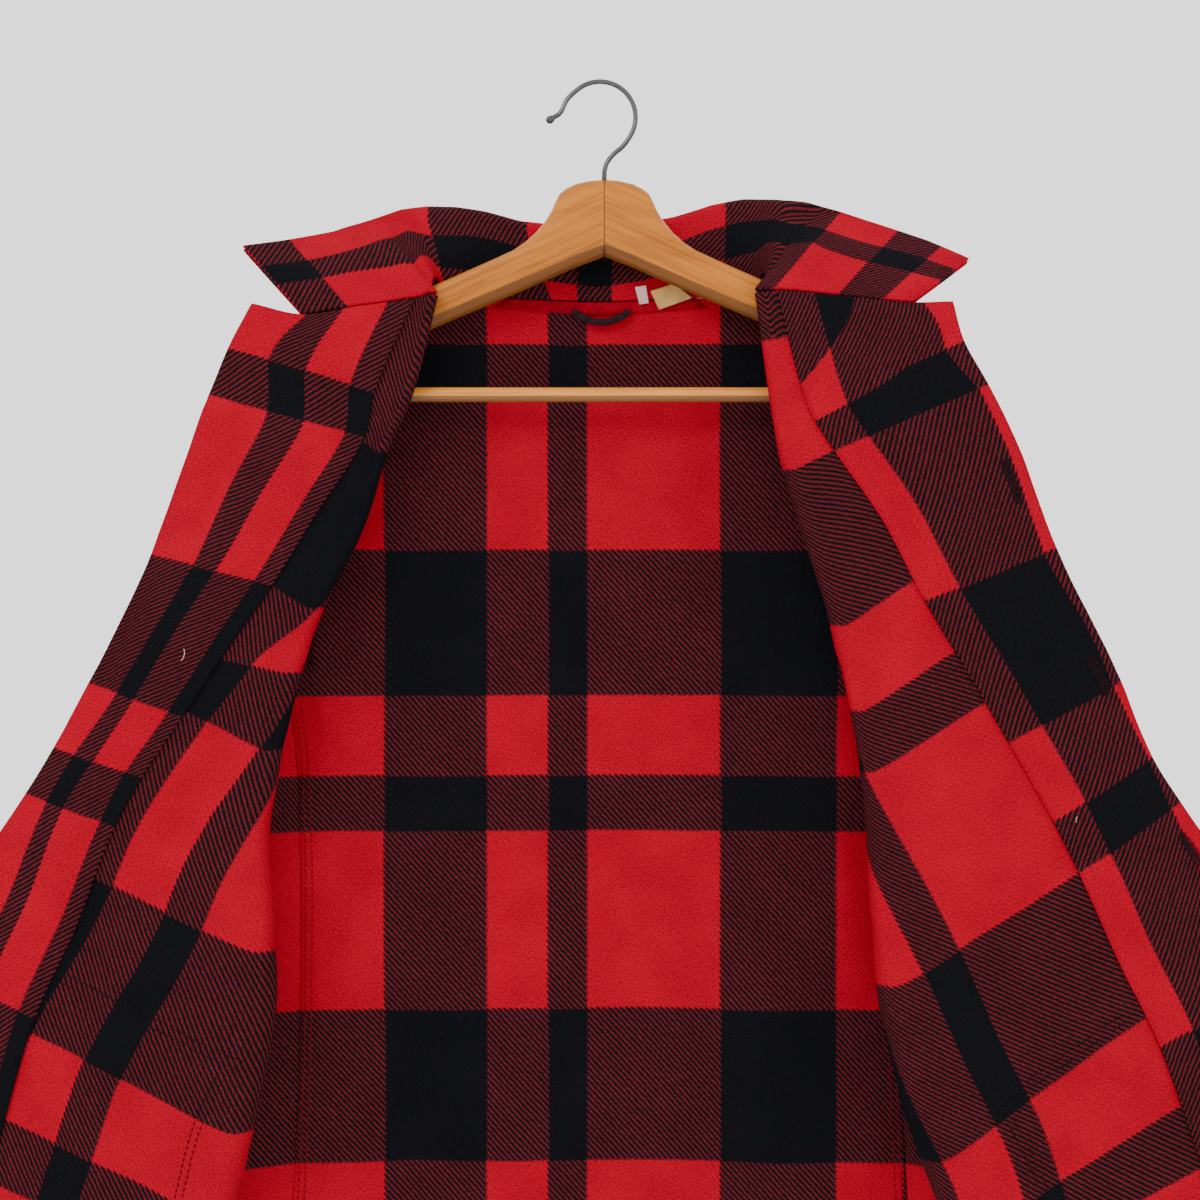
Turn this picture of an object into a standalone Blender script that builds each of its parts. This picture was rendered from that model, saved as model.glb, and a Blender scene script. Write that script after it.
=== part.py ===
"""A plaid wool mackinaw jacket that hangs open on a wooden clothes hanger.

Metres, +Z up. The origin is the crown inside the hanger's hook, where a peg or a rail bears.
The wearer would face -Y, so the wearer's right side is at -X. Both fronts are thrown open:
each hangs from its shoulder seam, turns over along a fold and lies outwards over its sleeve.
"""

import math

import bpy
from mathutils import Vector

MM = 0.001


def table(columns, rows):
    """Rows of numbers as dictionaries with named columns."""
    return [dict(zip(columns.split(), row)) for row in rows]


# Driving sizes, in millimetres
CLOTH = 2.6  # heavy melton wool
FACING_CLOTH = 2.2
SEAM_GAP = 0.5
LAYER_GAP = 0.4

HANGER_X = 3.0  # the wood hangs a little to one side of the hook's crown
ARM_THICK = 14.0
ARM_ROUND = ARM_THICK / 2
ARM_ENDS_AT = 212.0
ARM_EDGE = ((1.0, 8.0), (0.6, 2.2), (0.2, 0.0))  # the lower edge's bevel: share of the half thickness, rise
SEAM_RADIUS = ARM_ROUND + CLOTH / 2 + 1.2  # the shoulder's cloth, round the arm's rounded top
NECK_LIFT = 2.0  # the neck point stands this much clear of it, for the collar's thickness
COLLAR_GAP = 1.2
COLLAR_TURN_GAP = 10.0
COLLAR_TURN_OUT = 117.0
COLLAR_TURN_REACH = 24.0
COLLAR_TURN_FRONT = -26.0
COLLAR_DRAWN = (1.0, 0.6, 0.25)  # how much of that drawing up each of the lowest points takes
SLEEVE_GAP = 2.4
BUTTON_SEAT = 0.9
BAR_RADIUS = 5.2
BAR_Z = -217.4
BAR_HALF = 185.4
BAR_SIDES = 16
WIRE_RADIUS = 1.75
WIRE_SIDES = 10
WIRE_KNOB = (1.2, 2.5, 2.9, 2.5, 1.75)  # the radii of the small ball that ends the wire
HOOK_RADIUS = 24.9
HOOK_TIP = table(
    "x z",
    [
        (-37.2, -28),
        (-36.2, -26.8),
        (-35, -25.2),
        (-33.6, -23.4),
        (-32.5, -22),
        (-27.5, -15.5),
        (-22, -9),
    ],
)
HOOK_FROM = 128.0
HOOK_TO = -30.0
HOOK_STEPS = 14
HOOK_STEM = table("x z", [(13, -43.5), (6.5, -49), (2.2, -54.5), (0.3, -60), (0, -66.6)])

BUTTON_RADIUS = 14.0
BUTTON_THICK = 4.0
BUTTON_FROM_EDGE = 12.5
BUTTON_FIRST = 124.0
BUTTON_PITCH = 137.0
BUTTON_COUNT = 4

POCKET_FROM_EDGE = 62.0
POCKET_WIDTH = 160.0
POCKET_TOP = 486.0
POCKET_TALL = 150.0
FLAP_TOP = 472.0
FLAP_TALL = 58.0
FLAP_SPREAD = 4.0

PATCH_ROWS = 6
PATCH_COLUMNS = 8
BUTTON_SIDES = 20
BUTTON_PROFILE = ((0.8, 0), (0.97, 0.2), (1, 0.5), (0.95, 0.85), (0.85, 1), (0.7, 0.9), (0.6, 0.7))

TAPE_COLUMNS = 4
TAPE_THICK = 1.2
LOOP_X = 1.0
LOOP_HALF = 19.0
LOOP_Z = -155.0
LOOP_SAG = 8.0
LOOP_RADIUS = 2.4
LOOP_FORWARD = 2.4  # from the back's middle to the tape it is sewn to
LOOP_STEPS = 10
LOOP_SIDES = 8
LABEL_THICK = 0.9

SHARP_TURN = 50.0

# How each span between neighbouring key points or key rows is cut
SHOULDER_CUTS = (0.5, 1.0)
ARMHOLE_TOP_CUTS = (0.09, 0.2, 0.6, 1.0)
ARMHOLE_CUTS = (0.5, 1.0)
ARMHOLE_LOW_CUTS = (0.35, 0.7, 0.92, 1.0)
SIDE_CUTS = (0.5, 1.0)
FRONT_CUTS = [(1.0,)] * 3 + [(0.5, 1.0)] + [(1.0,)] * 4 + [(0.5, 1.0)] * 2 + [(1.0,)] * 3
FACE_COLUMN = 13
COLLAR_COLUMNS = (15, 14, 13, 9, 7, 5, 2, 1)  # the front's points that the collar's seam takes
BACK_CUTS = [(1.0,)] * 3 + [(0.5, 1.0)] * 3


# The hanger arm's outline, by distance from the hanger's centre line. Past ARM_ENDS_AT only the
# shoulder's cloth follows it. The drop at 186 is the ear that carries the bar.
ARM = table(
    "out top low",
    [
        (0, -67, -120.5),
        (20, -67.5, -128.5),
        (28, -71, -132),
        (33, -80, -134),
        (40, -97, -137),
        (48, -106, -140.5),
        (64, -116.6, -147.5),
        (83, -125, -155.5),
        (108, -136, -166),
        (150, -154, -184),
        (185.7, -170.4, -199.8),
        (186, -170.5, -225),
        (200, -177.5, -228),
        (208, -181.7, -226),
        (212, -184, -219),
        (250, -203.5, -240),
    ],
)

# Where each row of the garment leaves the side of the body, outwards from the middle.
# The first four rows stand on the shoulder seam, the next four on the armhole, the rest on the side seam.
SIDE = table(
    "down out front back z",
    [
        (0, 117, 0, 0, None),
        (30, 152, 0, 0, None),
        (70, 190, 0, 0, None),
        (130, 235, 0, 0, None),
        (189, 224, -13, 15, -290),
        (240, 226, -13, 17, -352),
        (291, 221, 2, 2, -412),
        (346, 215, 18, 18, -480),
        (385, 213, 20, 20, -540),
        (445, 213, 21, 21, -622),
        (504, 215, 22, 22, -715),
        (581, 219, 22, 22, -795),
        (658, 224, 22, 22, -872),
    ],
)
SHOULDER_ROWS = 4
ARMHOLE_ROWS = 3

# How each front turns over: the fold, the facing's inner edge and the front edge, all outwards
FRONT_COLUMNS = "belly fold_out fold_y fold_z radius face_out face_z edge_out edge_z"
FRONT_RIGHT = table(
    FRONT_COLUMNS,
    [
        (0, 113, -20, -151, 5, 128, -154.5, 237, -159.4),
        (0, 131, -21, -222, 6, 155, -218, 252, -189.4),
        (0, 146, -23, -257, 7, 162, -250, 265, -222),
        (0, 164, -25, -313, 8, 193, -300.4, 285, -276),
        (0, 191, -26, -366, 9, 224, -351, 305, -330),
        (0, 204, -27, -405, 10, 255, -396, 326, -374),
        (8, 219, -28, -468, 11, 284, -440, 347, -417.5),
        (30, 228, -29, -520, 11, 311, -481, 370.5, -462),
        (33, 226, -30, -562, 12, 329, -514, 389.5, -493),
        (34, 223, -31, -637, 12, 355.5, -582, 423.6, -546),
        (37, 238, -31, -712, 12, 383, -643.6, 459.7, -606),
        (43, 255, -31, -785, 12, 405, -718.5, 482, -681),
        (48, 269, -31, -858, 12, 425.6, -793.4, 500.5, -759.4),
    ],
)
FRONT_LEFT = table(
    FRONT_COLUMNS,
    [
        (0, 108, -20, -149, 5, 122, -149, 240, -158),
        (0, 120.5, -21, -236, 6, 144, -229.5, 247, -184.5),
        (0, 127, -23, -272, 7, 161, -259, 263.5, -215),
        (0, 145, -25, -330, 8, 193, -306.4, 286, -262),
        (0, 163, -26, -395, 9, 222, -362, 309, -326),
        (0, 171.5, -27, -453, 10, 250, -409, 331.6, -373),
        (8, 180, -28, -510, 11, 278, -457.6, 353.4, -416.7),
        (26, 186, -29, -570, 11, 308, -511, 374.5, -468),
        (28, 190.5, -30, -624, 12, 325, -546, 393.6, -499),
        (30, 205, -31, -697, 12, 351, -606, 432.4, -555),
        (33, 230, -31, -762, 12, 379, -663, 470, -616),
        (38, 243, -31, -816, 12, 404, -733, 503, -688),
        (42, 256, -31, -870, 12, 425.6, -803.5, 527.8, -762.7),
    ],
)
FRONT_OVER_ARM = ((0.07, 48), (0.15, 92))  # share of the way to the fold, turn round the hanger's arm
FRONT_SHARES = (0.25, 0.6)
NOTCH_SHARE = 0.69
NOTCH = {-1: {"out": 203, "y": -34, "z": -166.6}, 1: {"out": 213, "y": -34, "z": -158.5}}
FACE_STEP = 4.0  # the facing stands this much nearer the viewer than the fold's front
EDGE_Y = -40.0
FACING_LIFT = -5.0  # the facing's soft belly
NOTCH_LIFT = -3.5
FLAP_BELLY = 3.0

# The back's neckline, from beside the hanger's arm to the middle
NECK = table(
    "out y z",
    [(112, 9.5, -147.5), (96, 16, -147.5), (66, 22.5, -147), (33, 26, -148), (0, 27, -149)],
)
BACK_MIDDLE_Y = 31.0
BACK_MIDDLE_Z = (-149, -166, -190, -222)
BACK_SHARES = (0.84, 0.56, 0.28, 0)
BACK_FIRST_SHARES = (0.2, 0.45)
BACK_OVER_ARM = ((3, 48), (6, 92))  # distance inwards, turn round the hanger's arm
BACK_DROP_POWER = 0.7
BACK_HEM_SAG = 6.0

# The collar above the neck seam, from one notch round to the other
COLLAR = table(
    "along x y z fall",
    [
        (0.00, -249, 0, -115, 0),
        (0.06, -217, 6, -110, 0),
        (0.12, -189, 9, -103, 0),
        (0.18, -161.5, 12, -94, 2),
        (0.225, -140.5, 14, -86.5, 8),
        (0.27, -124, 17, -83.5, 20),
        (0.32, -103, 21, -83.5, 38),
        (0.37, -82, 26, -86, 54),
        (0.42, -58, 30, -92, 62),
        (0.50, 3, 34, -98, 64),
        (0.58, 54, 30, -89, 62),
        (0.63, 80, 26, -81.5, 54),
        (0.68, 103, 21, -78.5, 38),
        (0.73, 127, 17, -79, 20),
        (0.775, 146, 14, -81.5, 8),
        (0.82, 168, 12, -88, 2),
        (0.88, 197, 9, -99, 0),
        (0.94, 228, 6, -110, 0),
        (1.00, 257, 0, -124, 0),
    ],
)
COLLAR_ROLL = 5.5  # the radius at which the fall turns over
COLLAR_OPEN = 10.0  # how much wider it turns where the collar lies open
COLLAR_TURNED = 45.0  # a fall this long has turned right over
COLLAR_SPLIT = 0.4
# Places up the collar: as a share of its width where it lies flat, and where it falls, with 1 at
# the roll's start and 2 at the fall's edge
COLLAR_PLACES = (
    (0, 0),
    (0.13, 0.33),
    (0.26, 0.67),
    (0.39, 1),
    (0.5, 1.07),
    (0.6, 1.14),
    (0.7, 1.205),
    (0.8, 1.27),
    (0.9, 1.62),
    (1, 2),
)
COLLAR_BELLY = 7.0
COLLAR_BELLY_LOST = 0.6  # the share of it that a turned collar loses

# The sleeve's rings below the armhole: outer and inner ends, front and back faces
SLEEVE = table(
    "outer_out outer_z inner_out inner_z front back dent",
    [
        (249, -206, 241, -414, -18, 28, 0),
        (261, -236, 250, -432, -20, 37, 2),
        (284, -292, 256, -456, -21, 46, 6),
        (311, -354, 261, -482, -21, 54, 10),
        (336, -414, 266, -512, -21, 58, 12),
        (358, -480, 271, -548, -21, 58, 12),
        (371, -548, 275, -592, -20, 54, 10),
        (379, -628, 278, -652, -19, 48, 8),
        (383, -712, 281, -724, -18, 42, 6),
        (386, -794, 284, -798, -17, 38, 4),
    ],
)

WOOL_INSIDE = {"colour": (0.55, 0.028, 0.03), "roughness": 0.95, "metallic": 0.0}
WOOL_FACE = {"colour": (0.3, 0.022, 0.024), "roughness": 0.95, "metallic": 0.0}
HORN = {"colour": (0.03, 0.02, 0.018), "roughness": 0.3, "metallic": 0.0}
WOOD = {"colour": (0.62, 0.36, 0.16), "roughness": 0.4, "metallic": 0.0}
BAR_WOOD = {"colour": (0.78, 0.5, 0.22), "roughness": 0.5, "metallic": 0.0}
STEEL = {"colour": (0.62, 0.62, 0.64), "roughness": 0.25, "metallic": 1.0}
CORD = {"colour": (0.025, 0.018, 0.02), "roughness": 0.8, "metallic": 0.0}
RED_TAPE = {"colour": (0.5, 0.02, 0.03), "roughness": 0.9, "metallic": 0.0}

# Each label's corners, from the upper left one round to the lower left one
LABELS = {
    "label_beige": ((36, 20.4, -142), (52.5, 18.4, -137), (65, 17.7, -147), (42, 22.4, -154.7)),
    "label_white": ((25, 20.9, -139), (32.5, 20.4, -138), (34.5, 21.9, -150), (28, 22.4, -151)),
}
LABEL_PAINTS = {
    "label_beige": {"colour": (0.72, 0.6, 0.38), "roughness": 0.85, "metallic": 0.0},
    "label_white": {"colour": (0.8, 0.72, 0.7), "roughness": 0.85, "metallic": 0.0},
}


def material(name, colour, roughness, metallic):
    made = bpy.data.materials.new(name)
    made.use_nodes = True
    shader = made.node_tree.nodes["Principled BSDF"]
    shader.inputs["Base Color"].default_value = (*colour, 1.0)
    shader.inputs["Roughness"].default_value = roughness
    shader.inputs["Metallic"].default_value = metallic
    return made


def straight(low, high, share):
    return low + (high - low) * share


def between(values, places, place):
    """Straight interpolation of values that stand at rising places."""
    for i in range(1, len(places)):
        if place <= places[i] or i == len(places) - 1:
            share = (place - places[i - 1]) / (places[i] - places[i - 1])
            return straight(values[i - 1], values[i], max(0.0, min(1.0, share)))
    return values[0]


def span(before, start, end, after, share):
    """A point between start and end on the smooth curve through four points."""
    first = max((start - before).length, 0.001) ** 0.5
    second = first + max((end - start).length, 0.001) ** 0.5
    third = second + max((after - end).length, 0.001) ** 0.5
    t = straight(first, second, share)
    a = before.lerp(start, t / first)
    b = start.lerp(end, share)
    c = end.lerp(after, (t - second) / (third - second))
    low = a.lerp(b, t / second)
    high = b.lerp(c, (t - first) / (third - first))
    return low.lerp(high, share)


def curve(points, cuts):
    """The smooth curve through the points, read at the given shares of each span."""
    ends = [points[0] * 2 - points[1], *points, points[-1] * 2 - points[-2]]
    made = [points[0].copy()]
    for i, shares in enumerate(cuts):
        for share in shares:
            made.append(span(*ends[i : i + 4], share))
    return made


def row_cuts():
    """The shares at which the spans between the garment's key rows are cut."""
    cuts = [SHOULDER_CUTS] * (SHOULDER_ROWS - 1)
    cuts += [ARMHOLE_TOP_CUTS] + [ARMHOLE_CUTS] * (ARMHOLE_ROWS - 2) + [ARMHOLE_LOW_CUTS]
    return cuts + [SIDE_CUTS] * (len(SIDE) - 1 - len(cuts))


def rows_before(key_row):
    return sum(len(shares) for shares in row_cuts()[:key_row])


def downs():
    """How far down the front edge each row of the garment's grid stands."""
    made = [SIDE[0]["down"]]
    for i, shares in enumerate(row_cuts()):
        made += [straight(SIDE[i]["down"], SIDE[i + 1]["down"], share) for share in shares]
    return made


def arm_height(out, column):
    return between([row[column] for row in ARM], [row["out"] for row in ARM], out)


def over_arm(side, out, turn, facing, lift=0.0):
    """Cloth over the hanger's arm, turned from the top towards the front (-1) or the back (1)."""
    x = side * out
    centre = arm_height(abs(x - HANGER_X), "top") - ARM_ROUND
    angle = math.radians(turn)
    radius = SEAM_RADIUS + lift
    return Vector((x, facing * radius * math.sin(angle), centre + radius * math.cos(angle)))


def neck_lift(key_row):
    return NECK_LIFT if key_row == 0 else 0.0


def side_point(side, key_row, face):
    row = SIDE[key_row]
    if row["z"] is None:
        return over_arm(side, row["out"], 0, 1, neck_lift(key_row))
    return Vector((side * row["out"], row[face], row["z"]))


def round_armhole(grid, columns):
    """By the armhole, the cloth leaves the shoulder's tip and meets the underarm in quarters of ellipses."""
    underarm = SHOULDER_ROWS - 1 + ARMHOLE_ROWS
    spans = ((SHOULDER_ROWS - 1, ARMHOLE_TOP_CUTS, True), (underarm - 1, ARMHOLE_LOW_CUTS, False))
    for key_row, cuts, leaving in spans:
        for column in columns:
            high = grid[rows_before(key_row)][column]
            low = grid[rows_before(key_row + 1)][column]
            for i, share in enumerate(cuts[:-1]):
                place = high.lerp(low, share)
                swept = math.sqrt(1 - (1 - share) ** 2) if leaving else 1 - math.sqrt(1 - share ** 2)
                place.y = straight(high.y, low.y, swept)
                grid[rows_before(key_row) + 1 + i][column] = place


def front_row(side, key_row):
    """One section of a front, from the side seam round the fold to the front edge."""
    row = (FRONT_RIGHT if side < 0 else FRONT_LEFT)[key_row]
    start = side_point(side, key_row, "front")
    radius = row["radius"]
    fold = []
    for turn in (90, 45, 0, -45, -90):
        angle = math.radians(turn)
        out = row["fold_out"] + radius * (1 - math.cos(angle))
        fold.append(Vector((side * out, row["fold_y"] + radius * math.sin(angle), row["fold_z"])))
    if key_row < SHOULDER_ROWS:
        inward = abs(start.x) - abs(fold[0].x)
        first, second = (
            over_arm(side, abs(start.x) - inward * share, turn, -1, neck_lift(key_row))
            for share, turn in FRONT_OVER_ARM
        )
        third = second.lerp(fold[0], 0.5)
    else:
        third = start.lerp(fold[0], 0.5)
        if row["belly"]:
            third.x = side * (SIDE[key_row]["out"] + row["belly"])
        first, second = (start.lerp(third, share) for share in FRONT_SHARES)
    face = Vector((side * row["face_out"], fold[-1].y - FACE_STEP, row["face_z"]))
    edge = Vector((side * row["edge_out"], EDGE_Y, row["edge_z"]))
    middle = fold[-1].lerp(face, 0.5)
    middle.y -= FLAP_BELLY * min(1.0, key_row / SHOULDER_ROWS)
    if key_row == 0:
        notch = Vector((side * NOTCH[side]["out"], NOTCH[side]["y"], NOTCH[side]["z"]))
        lift = face.lerp(notch, 0.5)
    else:
        notch = face.lerp(edge, NOTCH_SHARE)
        lift = face.lerp(notch, 0.5)
        lift.y += FACING_LIFT
        notch.y += NOTCH_LIFT
    return [start, first, second, third, *fold, middle, face, lift, notch, edge]


def down_columns(key_rows, cornered):
    """Curves down through the key rows' points. The cornered columns turn at both ends of the armhole."""
    columns = []
    tip = SHOULDER_ROWS - 1
    underarm = tip + ARMHOLE_ROWS
    for j, column in enumerate(zip(*key_rows)):
        if j in cornered or j - len(key_rows[0]) in cornered:
            made = curve(column[: tip + 1], row_cuts()[:tip])
            made += curve(column[tip : underarm + 1], row_cuts()[tip:underarm])[1:]
            columns.append(made + curve(column[underarm:], row_cuts()[underarm:])[1:])
        else:
            columns.append(curve(column, row_cuts()))
    grid = [list(row) for row in zip(*columns)]
    round_armhole(grid, cornered)
    return grid


def front_grid(side):
    keys = [curve(front_row(side, i), FRONT_CUTS) for i in range(len(SIDE))]
    return down_columns(keys, (0, 1, 2, 3))


def back_half_row(side, key_row):
    """One section of the back, from the side seam to the middle."""
    start = side_point(side, key_row, "back")
    middle_z = BACK_MIDDLE_Z[key_row] if key_row < SHOULDER_ROWS else start.z
    if key_row == len(SIDE) - 1:
        middle_z -= BACK_HEM_SAG
    if key_row == 0:
        rest = [Vector((side * row["out"], row["y"], row["z"])) for row in NECK[1:]]
    else:
        rest = []
        for share in BACK_SHARES:
            across = 1 - share
            y = straight(max(start.y, SEAM_RADIUS), BACK_MIDDLE_Y, math.sin(across * math.pi / 2))
            z = straight(start.z, middle_z, across ** BACK_DROP_POWER)
            rest.append(Vector((start.x * share, y, z)))
    if key_row < SHOULDER_ROWS:
        first, second = (
            over_arm(side, abs(start.x) - inward, turn, 1, neck_lift(key_row)) for inward, turn in BACK_OVER_ARM
        )
    else:
        first, second = (start.lerp(rest[0], share) for share in BACK_FIRST_SHARES)
    return [start, first, second, *rest]


def back_grid():
    keys = []
    for i in range(len(SIDE)):
        left = back_half_row(-1, i)
        right = back_half_row(1, i)
        keys.append(curve(left + right[-2::-1], BACK_CUTS + BACK_CUTS[::-1]))
    return down_columns(keys, (0, 1, 2, -1, -2, -3))


def armhole(front, back, side):
    """The armhole's edge, down the front from the shoulder's tip and up the back."""
    first = rows_before(SHOULDER_ROWS - 1)
    last = rows_before(SHOULDER_ROWS - 1 + ARMHOLE_ROWS)
    back_column = 0 if side < 0 else -1
    down = [front[i][0] for i in range(first, last + 1)]
    up = [back[i][back_column] for i in range(last - 1, first, -1)]
    return down, up


def sleeve_grid(side, down, up):
    """Rings down the sleeve. The first is the armhole itself."""
    lengths = [0.0]
    for a, b in zip(down, down[1:]):
        lengths.append(lengths[-1] + (b - a).length)
    shares = [length / lengths[-1] for length in lengths]
    turns = [(share, "front") for share in shares]
    turns += [(share, "back") for share in shares[-2:0:-1]]
    grid = [down + up]
    for row in SLEEVE:
        ring = []
        middle = (row["front"] + row["back"]) / 2
        for share, face in turns:
            swell = math.sqrt(4 * share * (1 - share))
            y = straight(middle, row[face], swell)
            if face == "back":
                y -= row["dent"] * swell ** 4
            out = straight(row["outer_out"], row["inner_out"], share)
            z = straight(row["outer_z"], row["inner_z"], share)
            ring.append(Vector((side * out, y, z)))
        grid.append(ring)
    return grid


def collar_grid(seam):
    """The collar above its seam: up, and where it falls, round and down behind itself."""
    lengths = [0.0]
    for a, b in zip(seam, seam[1:]):
        lengths.append(lengths[-1] + (b - a).length)
    places = [row["along"] for row in COLLAR]
    columns = []
    for point, length in zip(seam, lengths):
        along = length / lengths[-1]
        x, y, z, fall = (
            between([row[name] for row in COLLAR], places, along) for name in ("x", "y", "z", "fall")
        )
        turned = min(1.0, fall / COLLAR_TURNED)
        radius = COLLAR_ROLL + COLLAR_OPEN * (1 - turned)
        top = Vector((x, y, z - radius * math.sin(min(math.pi / 2, fall / radius))))
        rise = (top - point).length
        column = []
        for even, rolled in COLLAR_PLACES:
            flat = even * (rise + fall)
            bent = rise * rolled if rolled <= 1 else rise + fall * (rolled - 1)
            walked = straight(flat, bent, turned)
            column.append(collar_point(point, top, radius, walked, turned))
        columns.append(column)
    return [list(row) for row in zip(*columns)]


def collar_point(seam, top, radius, walked, turned):
    rise = (top - seam).length
    if walked <= rise:
        share = walked / rise
        place = seam.lerp(top, share)
        place.y -= COLLAR_BELLY * (1 - COLLAR_BELLY_LOST * turned) * math.sin(math.pi * share)
        return place
    beyond = walked - rise
    turn = min(math.pi, beyond / radius)
    drop = max(0.0, beyond - math.pi * radius)
    away = radius * (1 - math.cos(turn))
    return top + Vector((0, away, radius * math.sin(turn) - drop))


def place_key(place):
    return tuple(round(value, 2) for value in place)


def seam_normals(sheets):
    """Outward normals that neighbouring sheets share where they meet at a seam."""
    total = {}
    for grid, sign in sheets:
        for row, below in zip(grid, grid[1:]):
            for j in range(len(row) - 1):
                corners = (row[j], row[j + 1], below[j + 1], below[j])
                normal = (corners[2] - corners[0]).cross(corners[3] - corners[1]) * sign
                for corner in corners:
                    key = place_key(corner)
                    total[key] = total.get(key, Vector()) + normal
    return {key: normal.normalized() for key, normal in total.items()}


def normals_of(grid, shared):
    return [[shared[place_key(place)] for place in row] for row in grid]


def pull_in(grid, sides, amount=SEAM_GAP / 2):
    """The grid with its named edges drawn in, so that a seam keeps its gap."""
    made = [[place.copy() for place in row] for row in grid]
    for i, row in enumerate(grid):
        if "left" in sides:
            made[i][0] += (row[1] - row[0]).normalized() * amount
        if "right" in sides:
            made[i][-1] += (row[-2] - row[-1]).normalized() * amount
    for j in range(len(grid[0])):
        if "top" in sides:
            made[0][j] += (grid[1][j] - grid[0][j]).normalized() * amount
    return made


def raise_seam(collar):
    """The collar's seam, drawn up from the neckline, most where it turns over the hanger's arm."""
    made = [[place.copy() for place in row] for row in collar]
    for j, place in enumerate(collar[0]):
        turn = max(0.0, 1 - abs(abs(place.x) - COLLAR_TURN_OUT) / COLLAR_TURN_REACH)
        if place.y < COLLAR_TURN_FRONT:
            turn = 0.0
        amount = straight(COLLAR_GAP, COLLAR_TURN_GAP, turn)
        for i, share in enumerate(COLLAR_DRAWN):
            made[i][j] += (collar[i + 1][j] - collar[i][j]).normalized() * amount * share
    return made


def part_of(grid, rows, columns):
    return [row[columns[0] : columns[1] + 1] for row in grid[rows[0] : rows[1] + 1]]


def finish(name, places, faces, paint):
    """The object itself, facing out, with its own material."""
    mesh = bpy.data.meshes.new(name)
    mesh.from_pydata([place * MM for place in places], [], faces)
    mesh.materials.append(material(name, **paint))
    made = bpy.data.objects.new(name, mesh)
    bpy.context.scene.collection.objects.link(made)
    mesh.validate()
    volume = 0.0
    for face in mesh.polygons:
        corners = [mesh.vertices[i].co for i in face.vertices]
        for k in range(1, len(corners) - 1):
            volume += corners[0].dot(corners[k].cross(corners[k + 1]))
    if volume < 0:
        mesh.flip_normals()
    mesh.shade_smooth()
    mesh.set_sharp_from_angle(angle=math.radians(SHARP_TURN))


def wall(name, grid, normals, low, high, paint, ring=False):
    """A closed wall of cloth between two offsets from the grid. A ring joins its last column to its first."""
    rows = len(grid)
    columns = len(grid[0])
    places = [p + n * low for line, across in zip(grid, normals) for p, n in zip(line, across)]
    places += [p + n * high for line, across in zip(grid, normals) for p, n in zip(line, across)]
    layer = rows * columns
    steps = columns if ring else columns - 1
    faces = []
    for i in range(rows - 1):
        for j in range(steps):
            k = (j + 1) % columns
            a, b = i * columns + j, i * columns + k
            c, d = (i + 1) * columns + k, (i + 1) * columns + j
            faces += [(a, b, c), (a, c, d)]
            faces += [(layer + c, layer + b, layer + a), (layer + d, layer + c, layer + a)]
    rims = []
    for j in range(steps):
        k = (j + 1) % columns
        rims.append((k, j))
        rims.append(((rows - 1) * columns + j, (rows - 1) * columns + k))
    if not ring:
        for i in range(rows - 1):
            rims.append((i * columns, (i + 1) * columns))
            rims.append(((i + 2) * columns - 1, (i + 1) * columns - 1))
    for a, b in rims:
        faces += [(a, b, layer + b), (a, layer + b, layer + a)]
    finish(name, places, faces, paint)


def loft(name, sections, paint):
    """A closed solid through rings of equally many points, with flat ends."""
    count = len(sections[0])
    places = [place for section in sections for place in section]
    faces = []
    for i in range(len(sections) - 1):
        for j in range(count):
            k = (j + 1) % count
            faces.append((i * count + j, i * count + k, (i + 1) * count + k, (i + 1) * count + j))
    last = (len(sections) - 1) * count
    faces.append(tuple(range(count))[::-1])
    faces.append(tuple(range(last, last + count)))
    finish(name, places, faces, paint)


def tube(name, path, radius, sides, paint, radii=None):
    """A round tube along a path that lies in a plane of equal y."""
    sections = []
    for i, place in enumerate(path):
        ahead = path[min(i + 1, len(path) - 1)] - path[max(i - 1, 0)]
        across = ahead.cross(Vector((0, 1, 0))).normalized()
        size = radii[i] if radii else radius
        ring = []
        for j in range(sides):
            angle = 2 * math.pi * (j + 0.5) / sides
            ring.append(place + across * size * math.cos(angle) + Vector((0, size * math.sin(angle), 0)))
        sections.append(ring)
    loft(name, sections, paint)


def build_arm(name, side):
    """Half of the wooden hanger: a rounded top, flat faces and a bevelled lower edge."""
    sections = []
    for row in ARM:
        if row["out"] > ARM_ENDS_AT:
            continue
        out = max(row["out"], SEAM_GAP / 2)
        x = HANGER_X + side * out
        crown = row["top"] - ARM_ROUND
        ring = []
        for turn in (-90, -60, -30, 0, 30, 60, 90):
            angle = math.radians(turn)
            ring.append(Vector((x, ARM_ROUND * math.sin(angle), crown + ARM_ROUND * math.cos(angle))))
        for share, rise in ARM_EDGE:
            ring.append(Vector((x, ARM_ROUND * share, row["low"] + rise)))
        for share, rise in reversed(ARM_EDGE):
            ring.append(Vector((x, -ARM_ROUND * share, row["low"] + rise)))
        sections.append(ring)
    loft(name, sections, WOOD)


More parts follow.
